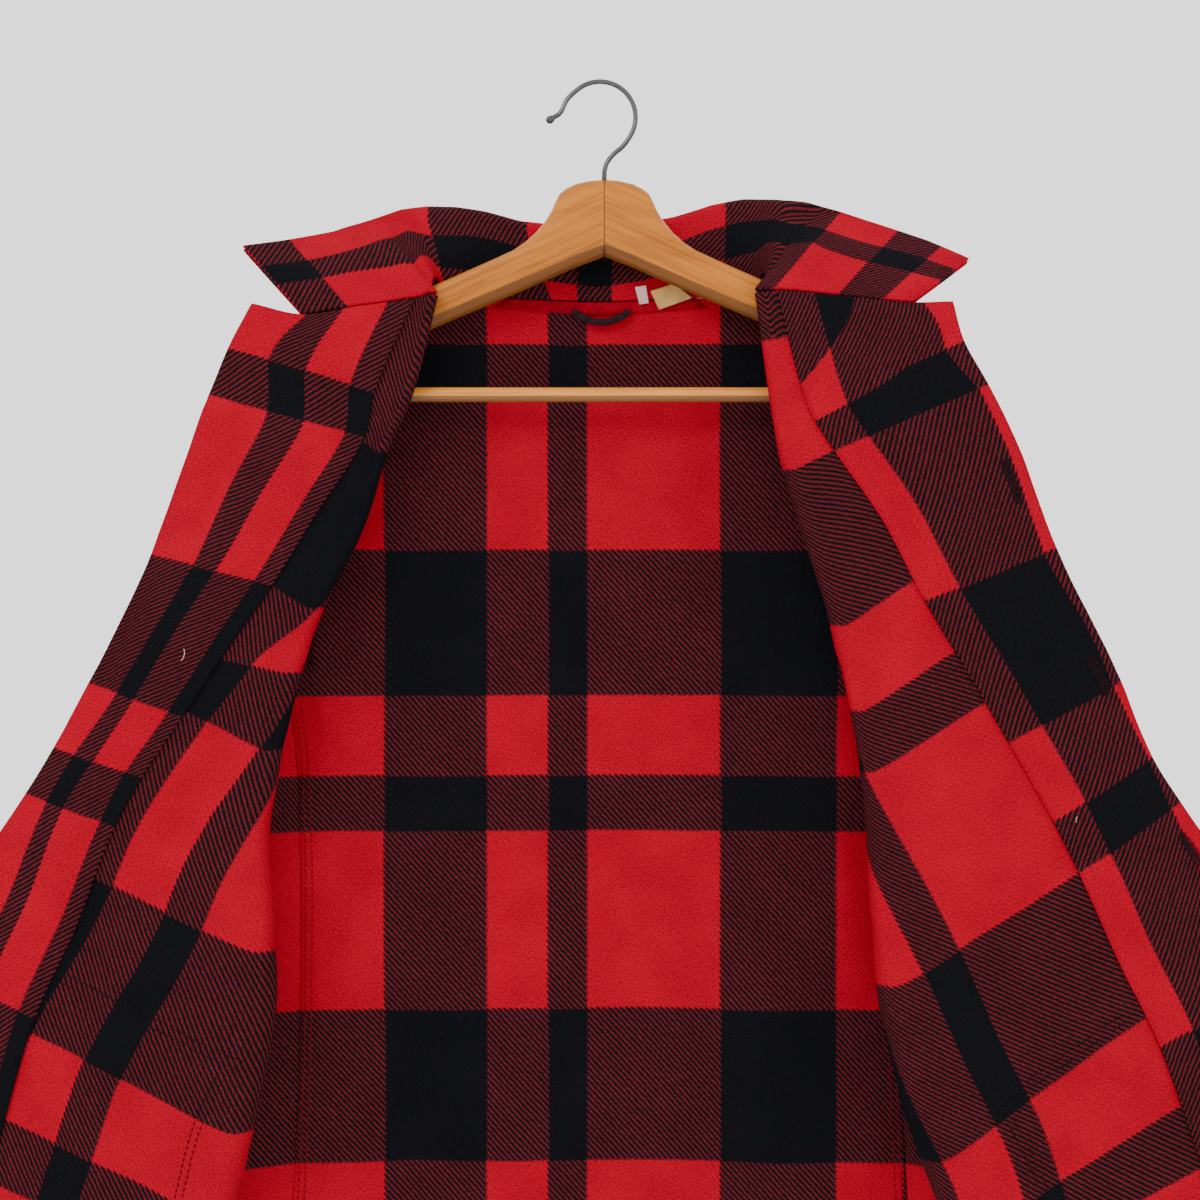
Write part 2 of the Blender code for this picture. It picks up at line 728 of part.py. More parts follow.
def build_hanger():
    build_arm("hanger_arm_r", -1)
    build_arm("hanger_arm_l", 1)
    bar = [Vector((HANGER_X + BAR_HALF * share, 0, BAR_Z)) for share in (-1, -0.5, 0, 0.5, 1)]
    tube("hanger_bar", bar, BAR_RADIUS, BAR_SIDES, BAR_WOOD)
    centre = WIRE_RADIUS - HOOK_RADIUS
    path = [Vector((row["x"], 0, row["z"])) for row in HOOK_TIP]
    for step in range(HOOK_STEPS + 1):
        angle = math.radians(straight(HOOK_FROM, HOOK_TO, step / HOOK_STEPS))
        path.append(Vector((HOOK_RADIUS * math.cos(angle), 0, centre + HOOK_RADIUS * math.sin(angle))))
    path += [Vector((HANGER_X + row["x"], 0, row["z"])) for row in HOOK_STEM]
    radii = [WIRE_RADIUS] * len(path)
    radii[: len(WIRE_KNOB)] = WIRE_KNOB
    tube("hanger_hook", path, WIRE_RADIUS, WIRE_SIDES, STEEL, radii)


def surface_point(grid, normals, rows_down, from_edge, down):
    """A place and its normal on a front, by distance from the front edge and down it."""
    i = 1
    while i < len(rows_down) - 1 and rows_down[i] < down:
        i += 1
    share = (down - rows_down[i - 1]) / (rows_down[i] - rows_down[i - 1])
    found = []
    for line, across in ((grid[i - 1], normals[i - 1]), (grid[i], normals[i])):
        left = from_edge
        j = len(line) - 1
        while j > 1 and (line[j - 1] - line[j]).length < left:
            left -= (line[j - 1] - line[j]).length
            j -= 1
        step = left / (line[j - 1] - line[j]).length
        found.append((line[j].lerp(line[j - 1], step), across[j].lerp(across[j - 1], step)))
    (a, m), (b, n) = found
    return a.lerp(b, share), m.lerp(n, share).normalized()


def patch(grid, normals, first, last, top, bottom):
    """A rectangular patch of a front's points, with its normals."""
    rows_down = downs()
    places = []
    across = []
    for i in range(PATCH_ROWS + 1):
        line = []
        facing = []
        for j in range(PATCH_COLUMNS + 1):
            place, normal = surface_point(
                grid,
                normals,
                rows_down,
                straight(first, last, j / PATCH_COLUMNS),
                straight(top, bottom, i / PATCH_ROWS),
            )
            line.append(place)
            facing.append(normal)
        places.append(line)
        across.append(facing)
    return places, across


def build_pocket(end, grid, normals):
    """A patch pocket and its flap on the front's outside."""
    last = POCKET_FROM_EDGE + POCKET_WIDTH
    places, across = patch(grid, normals, POCKET_FROM_EDGE, last, POCKET_TOP, POCKET_TOP + POCKET_TALL)
    low = CLOTH / 2 + LAYER_GAP
    wall("pocket_" + end, places, across, low, low + CLOTH, WOOL_FACE)
    places, across = patch(
        grid, normals, POCKET_FROM_EDGE - FLAP_SPREAD, last + FLAP_SPREAD, FLAP_TOP, FLAP_TOP + FLAP_TALL
    )
    low += CLOTH + LAYER_GAP
    wall("pocket_flap_" + end, places, across, low, low + CLOTH, WOOL_FACE)


def build_buttons(grid, normals):
    """Sewn buttons on the outside of the wearer's right front."""
    for i in range(BUTTON_COUNT):
        down = BUTTON_FIRST + i * BUTTON_PITCH
        place, normal = surface_point(grid, normals, downs(), BUTTON_FROM_EDGE, down)
        base = place + normal * (CLOTH / 2 + BUTTON_SEAT)
        side = normal.cross(Vector((0, 0, 1))).normalized()
        up = side.cross(normal)
        sections = []
        for reach, rise in BUTTON_PROFILE:
            ring = []
            for j in range(BUTTON_SIDES):
                angle = 2 * math.pi * j / BUTTON_SIDES
                spoke = side * math.cos(angle) + up * math.sin(angle)
                ring.append(base + spoke * BUTTON_RADIUS * reach + normal * BUTTON_THICK * rise)
            sections.append(ring)
        loft("button_" + str(i + 1), sections, HORN)


def build_neck_trim(grid, normals):
    """The tape over the neck seam, the loop that hangs from it, and two blank labels."""
    middle = len(grid[0]) // 2
    columns = (middle - TAPE_COLUMNS, middle + TAPE_COLUMNS)
    low = -CLOTH / 2 - LAYER_GAP
    wall(
        "neck_tape",
        part_of(grid, (0, 1), columns),
        part_of(normals, (0, 1), columns),
        low,
        low - TAPE_THICK,
        RED_TAPE,
    )
    face = BACK_MIDDLE_Y - LOOP_FORWARD + low - TAPE_THICK
    path = []
    for i in range(LOOP_STEPS + 1):
        angle = math.pi * i / LOOP_STEPS
        x = LOOP_X - LOOP_HALF * math.cos(angle)
        y = face - SEAM_GAP - LOOP_RADIUS
        path.append(Vector((x, y, LOOP_Z - LOOP_SAG * math.sin(angle))))
    tube("hang_loop", path, LOOP_RADIUS, LOOP_SIDES, CORD)
    for name, corners in LABELS.items():
        a, b, c, d = (Vector(corner) for corner in corners)
        normal = (b - a).cross(d - a).normalized()
        wall(name, [[a, b], [d, c]], [[normal] * 2] * 2, 0, LABEL_THICK, LABEL_PAINTS[name])


def build():
    for old in list(bpy.data.objects):
        bpy.data.objects.remove(old, do_unlink=True)

    fronts = {side: front_grid(side) for side in (-1, 1)}
    back = back_grid()
    sleeves = {}
    for side in (-1, 1):
        down, up = armhole(fronts[side], back, side)
        sleeves[side] = sleeve_grid(side, down, up)
    seam = [fronts[-1][0][j] for j in COLLAR_COLUMNS]
    seam += back[0]
    seam += [fronts[1][0][j] for j in COLLAR_COLUMNS[::-1]]
    collar = collar_grid(seam)

    shared = seam_normals([(back, 1), (fronts[-1], -1), (fronts[1], 1)])

    half = CLOTH / 2
    back_normals = normals_of(back, shared)
    wall("back", pull_in(back, ("left", "right", "top")), back_normals, -half, half, WOOL_INSIDE)
    for side, end in ((-1, "r"), (1, "l")):
        grid = fronts[side]
        normals = normals_of(grid, shared)
        drawn = pull_in(grid, ("left", "top"))
        wall("front_" + end, drawn, normals, -half, half, WOOL_INSIDE)
        rows = (0, len(grid) - 1)
        columns = (FACE_COLUMN, len(grid[0]) - 1)
        low = -half - LAYER_GAP
        wall(
            "facing_" + end,
            part_of(drawn, rows, columns),
            part_of(normals, rows, columns),
            low,
            low - FACING_CLOTH,
            WOOL_FACE,
        )
        sleeve = sleeves[side]
        own = normals_of(sleeve, seam_normals([([ring + ring[:1] for ring in sleeve], side)]))
        wall("sleeve_" + end, pull_in(sleeve, ("top",), SLEEVE_GAP), own, -half, half, WOOL_FACE, ring=True)
        build_pocket(end, grid, normals)
    build_buttons(fronts[-1], normals_of(fronts[-1], shared))

    collar_normals = normals_of(collar, seam_normals([(collar, -1)]))
    drawn = raise_seam(collar)
    wall("collar_upper", drawn, collar_normals, -COLLAR_SPLIT / 2, -COLLAR_SPLIT / 2 - CLOTH, WOOL_FACE)
    wall("collar_under", drawn, collar_normals, COLLAR_SPLIT / 2, COLLAR_SPLIT / 2 + CLOTH, WOOL_FACE)
    build_neck_trim(back, back_normals)
    build_hanger()


build()
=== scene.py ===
import math

import bpy
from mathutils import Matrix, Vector, noise


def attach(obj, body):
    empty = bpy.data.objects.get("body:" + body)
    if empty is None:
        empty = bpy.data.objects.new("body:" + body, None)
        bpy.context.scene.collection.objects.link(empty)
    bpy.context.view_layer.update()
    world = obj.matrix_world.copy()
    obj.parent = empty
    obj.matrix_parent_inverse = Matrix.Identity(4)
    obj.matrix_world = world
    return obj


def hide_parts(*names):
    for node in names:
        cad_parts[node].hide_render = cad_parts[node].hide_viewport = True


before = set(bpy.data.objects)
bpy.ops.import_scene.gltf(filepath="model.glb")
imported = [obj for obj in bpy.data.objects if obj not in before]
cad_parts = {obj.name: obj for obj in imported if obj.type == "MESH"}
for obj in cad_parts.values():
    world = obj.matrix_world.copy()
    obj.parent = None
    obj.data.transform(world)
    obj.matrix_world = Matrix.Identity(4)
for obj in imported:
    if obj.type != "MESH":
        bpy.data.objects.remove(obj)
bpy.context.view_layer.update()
mm = 0.001

stage = {
    "eye": (0, -1.5, -0.361),
    "lens": 64.3,
    "floorZ": -1.02,
    "floorHalf": 4.0,
    "floorColour": (0.86, 0.86, 0.85, 1),
    "floorRough": 0.7,
    "skyColour": (1.0, 1.0, 1.0, 1),
    "skyStrength": 1.85,
    "lights": (  # place, target, size, power
        ("key", (-0.9, -1.9, 0.9), (0, 0, -0.4), 0.8, 17),
        ("fill", (1.3, -1.6, 0.2), (0, 0, -0.45), 1.4, 2),
        ("back", (0.4, 1.8, 0.9), (0, 0, -0.4), 1.4, 5),
    ),
}


def areaLight(name, place, target, size, power):
    lamp = bpy.data.lights.new(name, "AREA")
    lamp.shape = "DISK"
    lamp.size = size
    lamp.energy = power
    lampObject = bpy.data.objects.new(name, lamp)
    lampObject.location = place
    lampObject.rotation_euler = (Vector(target) - Vector(place)).to_track_quat("-Z", "Y").to_euler()
    bpy.context.scene.collection.objects.link(lampObject)


def setStage():
    camera = bpy.data.objects.new("camera", bpy.data.cameras.new("camera"))
    camera.data.lens = stage["lens"]
    camera.data.sensor_width = 36
    camera.location = stage["eye"]
    camera.rotation_euler = (math.pi / 2, 0, 0)
    bpy.context.scene.collection.objects.link(camera)
    bpy.context.scene.camera = camera

    floorMesh = bpy.data.meshes.new("floor")
    reach, z = stage["floorHalf"], stage["floorZ"]
    corners = [(-reach, -reach, z), (reach, -reach, z), (reach, reach, z), (-reach, reach, z)]
    floorMesh.from_pydata(corners, [], [(0, 1, 2, 3)])
    floor = bpy.data.objects.new("floor", floorMesh)
    bpy.context.scene.collection.objects.link(floor)
    paint = bpy.data.materials.new("paleFloor")
    paint.use_nodes = True
    shader = paint.node_tree.nodes["Principled BSDF"]
    shader.inputs["Base Color"].default_value = stage["floorColour"]
    shader.inputs["Roughness"].default_value = stage["floorRough"]
    floorMesh.materials.append(paint)

    world = bpy.data.worlds.new("softSky")
    world.use_nodes = True
    sky = world.node_tree.nodes["Background"]
    sky.inputs["Color"].default_value = stage["skyColour"]
    sky.inputs["Strength"].default_value = stage["skyStrength"]
    bpy.context.scene.world = world
    for light in stage["lights"]:
        areaLight(*light)


setStage()
print("stage is set")

# the jacket's sections are in millimetres; side -1 is the wearer's right
sides = ((-1, "R", "_r"), (1, "L", "_l"))
cloth = {
    "thick": 2.6,
    "facingThick": 2.2,
    "layerGap": 0.4,  # between a facing or a pocket and its front
    "seamGap": 0.5,
    "armGap": 1.2,  # between the shoulders and the hanger's arms
    "neckLift": 2.0,
    "rimRise": 0.3,  # how far a raw edge is rounded out, as a share of its thickness
}
hanger = {
    "x": 3.0,
    "half": 7.0,  # half the arms' thickness
    "wire": 1.75,
    "hookRadius": 24.9,
}


def tableOf(columns, rows):
    return [dict(zip(columns.split(), row)) for row in rows]


armTop = (  # how far out, how high
    (0, -67), (20, -67.5), (28, -71), (33, -80), (40, -97), (48, -106), (64, -116.6), (83, -125), (108, -136),
    (150, -154), (185.7, -170.4), (186, -170.5), (200, -177.5), (208, -181.7), (212, -184), (250, -203.5),
)

# where each row of the garment leaves the side of the body: four rows on the shoulder seam,
# then three spans of armhole, then the side seam
sideTable = tableOf(
    "down out front back z",
    [
        (0, 117, 0, 0, None),
        (30, 152, 0, 0, None),
        (70, 190, 0, 0, None),
        (130, 235, 0, 0, None),
        (189, 224, -13, 15, -290),
        (240, 226, -13, 17, -352),
        (291, 221, 2, 2, -412),
        (346, 215, 18, 18, -480),
        (385, 213, 20, 20, -540),
        (445, 213, 21, 21, -622),
        (504, 215, 22, 22, -715),
        (581, 219, 22, 22, -795),
        (658, 224, 22, 22, -872),
    ],
)
shoulderRows = 4
armholeSpans = 3
shoulderRadius = hanger["half"] + cloth["thick"] / 2 + cloth["armGap"]
rowCounts = (6, 7, 10, 10, 9, 10, 10, 7, 10, 10, 12, 12)  # how finely each span down is cut

frontColumns = "belly foldOut foldY foldZ radius faceOut faceZ edgeOut edgeZ"
frontTables = {
    -1: tableOf(
        frontColumns,
        [
            (0, 113, -20, -151, 5, 128, -154.5, 237, -159.4),
            (0, 131, -21, -222, 6, 155, -218, 252, -189.4),
            (0, 146, -23, -257, 7, 162, -250, 265, -222),
            (0, 164, -25, -313, 8, 193, -300.4, 285, -276),
            (0, 191, -26, -366, 9, 224, -351, 305, -330),
            (0, 204, -27, -405, 10, 255, -396, 326, -374),
            (8, 219, -28, -468, 11, 284, -440, 347, -417.5),
            (30, 228, -29, -520, 11, 311, -481, 370.5, -462),
            (33, 226, -30, -562, 12, 329, -514, 389.5, -493),
            (34, 223, -31, -637, 12, 355.5, -582, 423.6, -546),
            (37, 238, -31, -712, 12, 383, -643.6, 459.7, -606),
            (43, 255, -31, -785, 12, 405, -718.5, 482, -681),
            (48, 269, -31, -858, 12, 425.6, -793.4, 500.5, -759.4),
        ],
    ),
    1: tableOf(
        frontColumns,
        [
            (0, 108, -20, -149, 5, 122, -149, 240, -158),
            (0, 120.5, -21, -236, 6, 144, -229.5, 247, -184.5),
            (0, 127, -23, -272, 7, 161, -259, 263.5, -215),
            (0, 145, -25, -330, 8, 193, -306.4, 286, -262),
            (0, 163, -26, -395, 9, 222, -362, 309, -326),
            (0, 171.5, -27, -453, 10, 250, -409, 331.6, -373),
            (8, 180, -28, -510, 11, 278, -457.6, 353.4, -416.7),
            (26, 186, -29, -570, 11, 308, -511, 374.5, -468),
            (28, 190.5, -30, -624, 12, 325, -546, 393.6, -499),
            (30, 205, -31, -697, 12, 351, -606, 432.4, -555),
            (33, 230, -31, -762, 12, 379, -663, 470, -616),
            (38, 243, -31, -816, 12, 404, -733, 503, -688),
            (42, 256, -31, -870, 12, 425.6, -803.5, 527.8, -762.7),
        ],
    ),
}
front = {
    "counts": (3, 3, 3, 6, 3, 3, 3, 3, 12, 12, 10, 10, 8),  # how finely each span across is cut
    "overArm": ((0.07, 48), (0.15, 92)),
    "shares": (0.25, 0.6),
    "notchShare": 0.69,
    "notch": {-1: (203, -34, -166.6), 1: (213, -34, -158.5)},
    "faceStep": 4.0,
    "edgeY": -40.0,
    "facingLift": -5.0,
    "notchLift": -3.5,
    "flapBelly": 3.0,
}
back = {
    "counts": (3, 3, 4, 10, 10, 10),
    "neck": ((96, 16, -147.5), (66, 22.5, -147), (33, 26, -148), (0, 27, -149)),
    "middleY": 31.0,
    "middleZ": (-149, -166, -190, -222),
    "shares": (0.84, 0.56, 0.28, 0),
    "firstShares": (0.2, 0.45),
    "overArm": ((3, 48), (6, 92)),
    "dropPower": 0.7,
    "hemSag": 6.0,
}

collarTable = tableOf(
    "along x y z fall",
    [
        (0.00, -249, 0, -115, 0),
        (0.06, -217, 6, -110, 0),
        (0.12, -189, 9, -103, 0),
        (0.18, -161.5, 12, -94, 2),
        (0.225, -140.5, 14, -86.5, 8),
        (0.27, -124, 17, -83.5, 20),
        (0.32, -103, 21, -83.5, 38),
        (0.37, -82, 26, -86, 54),
        (0.42, -58, 30, -92, 62),
        (0.50, 3, 34, -98, 64),
        (0.58, 54, 30, -89, 62),
        (0.63, 80, 26, -81.5, 54),
        (0.68, 103, 21, -78.5, 38),
        (0.73, 127, 17, -79, 20),
        (0.775, 146, 14, -81.5, 8),
        (0.82, 168, 12, -88, 2),
        (0.88, 197, 9, -99, 0),
        (0.94, 228, 6, -110, 0),
        (1.00, 257, 0, -124, 0),
    ],
)
collar = {
    "seamKeys": (12, 11, 10, 8, 6, 4, 2, 1),  # the front's key points, notch to shoulder, under its seam
    "rows": 34,
    "roll": 5.5,
    "open": 10.0,
    "turned": 45.0,
    "split": 0.4,
    "belly": 7.0,
    "bellyLost": 0.6,
    "gap": 1.2,
    "turnGap": 2.0,
    "turnOut": 117.0,
    "turnReach": 24.0,
    "turnFront": -26.0,
    "places": (  # where the rows lie, as a share of the cloth: where it stands and where it falls
        (0, 0), (0.13, 0.33), (0.26, 0.67), (0.39, 1), (0.5, 1.07), (0.6, 1.14), (0.7, 1.205), (0.8, 1.27),
        (0.9, 1.62), (1, 2),
    ),
    "seenWithin": 70,  # the plaid's marks follow the drawn cloth near the middle
    "seenSoft": 40,
    "raised": 0.35,
}

sleeveTable = tableOf(
    "outerOut outerZ innerOut innerZ front back dent",
    [
        (249, -206, 241, -414, -18, 28, 0),
        (261, -236, 250, -432, -20, 37, 2),
        (284, -292, 256, -456, -21, 46, 6),
        (311, -354, 261, -482, -21, 54, 10),
        (336, -414, 266, -512, -21, 58, 12),
        (358, -480, 271, -548, -21, 58, 12),
        (371, -548, 275, -592, -20, 54, 10),
        (379, -628, 278, -652, -19, 48, 8),
        (383, -712, 281, -724, -18, 42, 6),
        (386, -794, 284, -798, -17, 38, 4),
    ],
)
sleeve = {"steps": 9, "gap": 2.4}


def mix(low, high, share):
    return low + (high - low) * share


def smooth(share):
    share = max(0.0, min(1.0, share))
    return share * share * (3 - 2 * share)


# straight interpolation through (place, value) pairs, carried on past both ends
def follow(pairs, place, hold=False):
    if hold:
        place = max(pairs[0][0], min(pairs[-1][0], place))
    i = 1
    while i < len(pairs) - 1 and place > pairs[i][0]:
        i += 1
    (x0, y0), (x1, y1) = pairs[i - 1], pairs[i]
    return mix(y0, y1, (place - x0) / (x1 - x0))


# a point between start and end on the smooth curve through four points
def curvePoint(before, start, end, after, share):
    first = max((start - before).length, 0.001) ** 0.5
    second = first + max((end - start).length, 0.001) ** 0.5
    third = second + max((after - end).length, 0.001) ** 0.5
    t = mix(first, second, share)
    a = before.lerp(start, t / first)
    b = start.lerp(end, share)
    c = end.lerp(after, (t - second) / (third - second))
    low = a.lerp(b, t / second)
    high = b.lerp(c, (t - first) / (third - first))
    return low.lerp(high, share)


def evenCuts(count):
    return [(step + 1) / count for step in range(count)]


def smoothLine(points, cuts):
    ends = [points[0] * 2 - points[1], *points, points[-1] * 2 - points[-2]]
    line = [points[0].copy()]
    for i, shares in enumerate(cuts):
        if isinstance(shares, int):
            shares = evenCuts(shares)
        line += [curvePoint(*ends[i : i + 4], share) for share in shares]
    return line


# cuts crowd together where the cloth turns into the armhole
def rowCuts():
    cuts = [evenCuts(count) for count in rowCounts]
    tip, low = shoulderRows - 1, shoulderRows + armholeSpans - 2
    cuts[tip] = [1 - math.cos(share * math.pi / 2) for share in cuts[tip]]
    cuts[low] = [math.sin(share * math.pi / 2) for share in cuts[low]]
    return cuts


def columnOf(counts, key):
    return sum(counts[:key])


def armHeight(out):
    return follow(armTop, out, hold=True)


# cloth over the hanger's arm, turned from the top towards the front (-1) or the back (1)
def overArm(side, out, turn, facing, lift):
    x = side * out
    centre = armHeight(abs(x - hanger["x"])) - hanger["half"]
    radius = shoulderRadius + lift
    angle = math.radians(turn)
    return Vector((x, facing * radius * math.sin(angle), centre + radius * math.cos(angle)))


def neckLift(keyRow):
    return cloth["neckLift"] if keyRow == 0 else 0.0


def sidePoint(side, keyRow, face):
    row = sideTable[keyRow]
    if row["z"] is None:
        return overArm(side, row["out"], 0, 1, neckLift(keyRow))
    return Vector((side * row["out"], row[face], row["z"]))


def frontSection(side, keyRow):
    row = frontTables[side][keyRow]
    start = sidePoint(side, keyRow, "front")
    fold = []
    for turn in (90, 45, 0, -45, -90):
        angle = math.radians(turn)
        out = row["foldOut"] + row["radius"] * (1 - math.cos(angle))
        fold.append(Vector((side * out, row["foldY"] + row["radius"] * math.sin(angle), row["foldZ"])))
    if keyRow < shoulderRows:
        inward = abs(start.x) - abs(fold[0].x)
        first, second = (
            overArm(side, abs(start.x) - inward * share, turn, -1, neckLift(keyRow))
            for share, turn in front["overArm"]
        )
        third = second.lerp(fold[0], 0.5)
    else:
        third = start.lerp(fold[0], 0.5)
        if row["belly"]:
            third.x = side * (sideTable[keyRow]["out"] + row["belly"])
        first, second = (start.lerp(third, share) for share in front["shares"])
    face = Vector((side * row["faceOut"], fold[-1].y - front["faceStep"], row["faceZ"]))
    edge = Vector((side * row["edgeOut"], front["edgeY"], row["edgeZ"]))
    middle = fold[-1].lerp(face, 0.5)
    middle.y -= front["flapBelly"] * min(1.0, keyRow / shoulderRows)
    if keyRow == 0:
        out, y, z = front["notch"][side]
        notch = Vector((side * out, y, z))
        lift = face.lerp(notch, 0.5)
    else:
        notch = face.lerp(edge, front["notchShare"])
        lift = face.lerp(notch, 0.5)
        lift.y += front["facingLift"]
        notch.y += front["notchLift"]
    return [start, first, second, third, *fold, middle, face, lift, notch, edge]


def backHalfSection(side, keyRow):
    start = sidePoint(side, keyRow, "back")
    middleZ = back["middleZ"][keyRow] if keyRow < shoulderRows else start.z
    if keyRow == len(sideTable) - 1:
        middleZ -= back["hemSag"]
    if keyRow == 0:
        rest = [Vector((side * out, y, z)) for out, y, z in back["neck"]]
    else:
        rest = []
        for share in back["shares"]:
            across = 1 - share
            y = mix(max(start.y, shoulderRadius), back["middleY"], math.sin(across * math.pi / 2))
            rest.append(Vector((start.x * share, y, mix(start.z, middleZ, across ** back["dropPower"]))))
    if keyRow < shoulderRows:
        first, second = (
            overArm(side, abs(start.x) - inward, turn, 1, neckLift(keyRow))
            for inward, turn in back["overArm"]
        )
    else:
        first, second = (start.lerp(rest[0], share) for share in back["firstShares"])
    return [start, first, second, *rest]


# by the armhole the cloth leaves the shoulder's tip and meets the underarm in quarters of ellipses
def roundArmhole(grid, columns):
    underarm = shoulderRows - 1 + armholeSpans
    cuts = rowCuts()
    for keyRow, leaving in ((shoulderRows - 1, True), (underarm - 1, False)):
        first = columnOf(rowCounts, keyRow)
        count = rowCounts[keyRow]
        for column in columns:
            high, low = grid[first][column], grid[first + count][column]
            for step in range(1, count):
                share = cuts[keyRow][step - 1]
                place = high.lerp(low, share)
                swept = math.sqrt(1 - (1 - share) ** 2) if leaving else 1 - math.sqrt(1 - share ** 2)
                place.y = mix(high.y, low.y, swept)
                grid[first + step][column] = place


# curves down through the key sections; the cornered columns turn at both ends of the armhole
def drawDown(sections, cornered):
    tip = shoulderRows - 1
    underarm = tip + armholeSpans
    cuts = rowCuts()
    columns = []
    for j, column in enumerate(zip(*sections)):
        if j in cornered:
            line = smoothLine(column[: tip + 1], cuts[:tip])
            line += smoothLine(column[tip : underarm + 1], cuts[tip:underarm])[1:]
            line += smoothLine(column[underarm:], cuts[underarm:])[1:]
        else:
            line = smoothLine(column, cuts)
        columns.append(line)
    grid = [list(row) for row in zip(*columns)]
    roundArmhole(grid, cornered)
    return grid


def rowDowns():
    downs = [sideTable[0]["down"]]
    for i, shares in enumerate(rowCuts()):
        low, high = sideTable[i]["down"], sideTable[i + 1]["down"]
        downs += [mix(low, high, share) for share in shares]
    return downs


downs = rowDowns()


def drawFront(side):
    sections = [smoothLine(frontSection(side, i), front["counts"]) for i in range(len(sideTable))]
    return drawDown(sections, range(columnOf(front["counts"], 3) + 1))


def drawBack():
    counts = back["counts"]
    sections = []
    for i in range(len(sideTable)):
        left, right = backHalfSection(-1, i), backHalfSection(1, i)
        sections.append(smoothLine(left + right[-2::-1], counts + counts[::-1]))
    edge = columnOf(counts, 2)
    last = len(sections[0]) - 1
    return drawDown(sections, [*range(edge + 1), *range(last - edge, last + 1)])


# rings down a sleeve, the first on the armhole itself
def drawSleeve(side, frontGrid, backGrid):
    first = columnOf(rowCounts, shoulderRows - 1)
    last = columnOf(rowCounts, shoulderRows - 1 + armholeSpans)
    backColumn = 0 if side < 0 else -1
    downEdge = [frontGrid[i][0] for i in range(first, last + 1)]
    upEdge = [backGrid[i][backColumn] for i in range(last - 1, first, -1)]
    lengths = arcsAcross(downEdge, 0)
    shares = [length / lengths[-1] for length in lengths]
    turns = [(share, "front") for share in shares] + [(share, "back") for share in shares[-2:0:-1]]
    rings = [downEdge + upEdge]
    for row in sleeveTable:
        ring = []
        middle = (row["front"] + row["back"]) / 2
        for share, face in turns:
            swell = math.sqrt(4 * share * (1 - share))
            y = mix(middle, row[face], swell)
            if face == "back":
                y -= row["dent"] * swell ** 4
            out = mix(row["outerOut"], row["innerOut"], share)
            ring.append(Vector((side * out, y, mix(row["outerZ"], row["innerZ"], share))))
        rings.append(ring)
    counts = [sleeve["steps"]] * (len(rings) - 1)
    return [list(row) for row in zip(*[smoothLine(column, counts) for column in zip(*rings)])]


def collarPoint(seam, top, radius, walked, turned):
    rise = (top - seam).length
    if walked <= rise:
        share = walked / rise
        place = seam.lerp(top, share)
        place.y -= collar["belly"] * (1 - collar["bellyLost"] * turned) * math.sin(math.pi * share)
        return place
    beyond = walked - rise
    turn = min(math.pi, beyond / radius)
    drop = max(0.0, beyond - math.pi * radius)
    return top + Vector((0, radius * (1 - math.cos(turn)), radius * math.sin(turn) - drop))


# the collar above its seam: up, and where it falls, round and down behind itself
def drawCollar(fronts, backGrid):
    seam = []
    for side in (-1, 1):
        keys = [fronts[side][0][columnOf(front["counts"], key)] for key in collar["seamKeys"]]
        keys.append(fronts[side][0][0])
        line = smoothLine(keys, [3] * (len(keys) - 1))
        seam = line[:-1] + backGrid[0] if side < 0 else seam + line[-2::-1]
    lengths = arcsAcross(seam, 0)
    readings = {name: [(row["along"], row[name]) for row in collarTable] for name in ("x", "y", "z", "fall")}
    last = len(collar["places"]) - 1
    evenPlaces, rolledPlaces = (
        [(i / last, pair[k]) for i, pair in enumerate(collar["places"])] for k in (0, 1)
    )
    columns, plaid = [], []
    for point, length in zip(seam, lengths):
        along = length / lengths[-1]
        x, y, z, fall = (follow(readings[name], along) for name in ("x", "y", "z", "fall"))
        turned = min(1.0, fall / collar["turned"])
        radius = collar["roll"] + collar["open"] * (1 - turned)
        top = Vector((x, y, z - radius * math.sin(min(math.pi / 2, fall / radius))))
        rise = (top - point).length
        column, marks = [], []
        for i in range(collar["rows"] + 1):
            share = i / collar["rows"]
            flat = follow(evenPlaces, share) * (rise + fall)
            rolled = follow(rolledPlaces, share)
            bent = rise * rolled if rolled <= 1 else rise + fall * (rolled - 1)
            walked = mix(flat, bent, turned)
            column.append(collarPoint(point, top, radius, walked, turned))
            seen = smooth((collar["seenWithin"] - abs(x)) / collar["seenSoft"]) if walked <= rise else 0.0
            marks.append((mix(x, column[-1].x, seen), walked, walked / rise, length))
        columns.append(column)
        plaid.append(marks)
    grid = [list(row) for row in zip(*columns)]
    marks = [list(row) for row in zip(*plaid)]
    lifted = [[place.copy() for place in row] for row in grid]
    for j, place in enumerate(grid[0]):
        turn = max(0.0, 1 - abs(abs(place.x) - collar["turnOut"]) / collar["turnReach"])
        if place.y < collar["turnFront"]:
            turn = 0.0
        amount = mix(collar["gap"], collar["turnGap"], turn)
        reach = int(collar["rows"] * collar["raised"])
        for i in range(reach):
            lifted[i][j] += (grid[i + 1][j] - grid[i][j]).normalized() * amount * (1 - smooth(i / reach))
    return lifted, marks


def gridNormals(grid, sign, ring=False):
    rows, columns = len(grid), len(grid[0])
    normals = []
    for i in range(rows):
        up, low = grid[max(i - 1, 0)], grid[min(i + 1, rows - 1)]
        line = []
        for j in range(columns):
            left = (j - 1) % columns if ring else max(j - 1, 0)
            right = (j + 1) % columns if ring else min(j + 1, columns - 1)
            normal = (grid[i][right] - grid[i][left]).cross(low[j] - up[j]) * sign
            line.append(normal.normalized() if normal.length > 1e-9 else Vector((0, -1, 0)))
        normals.append(line)
    return normals


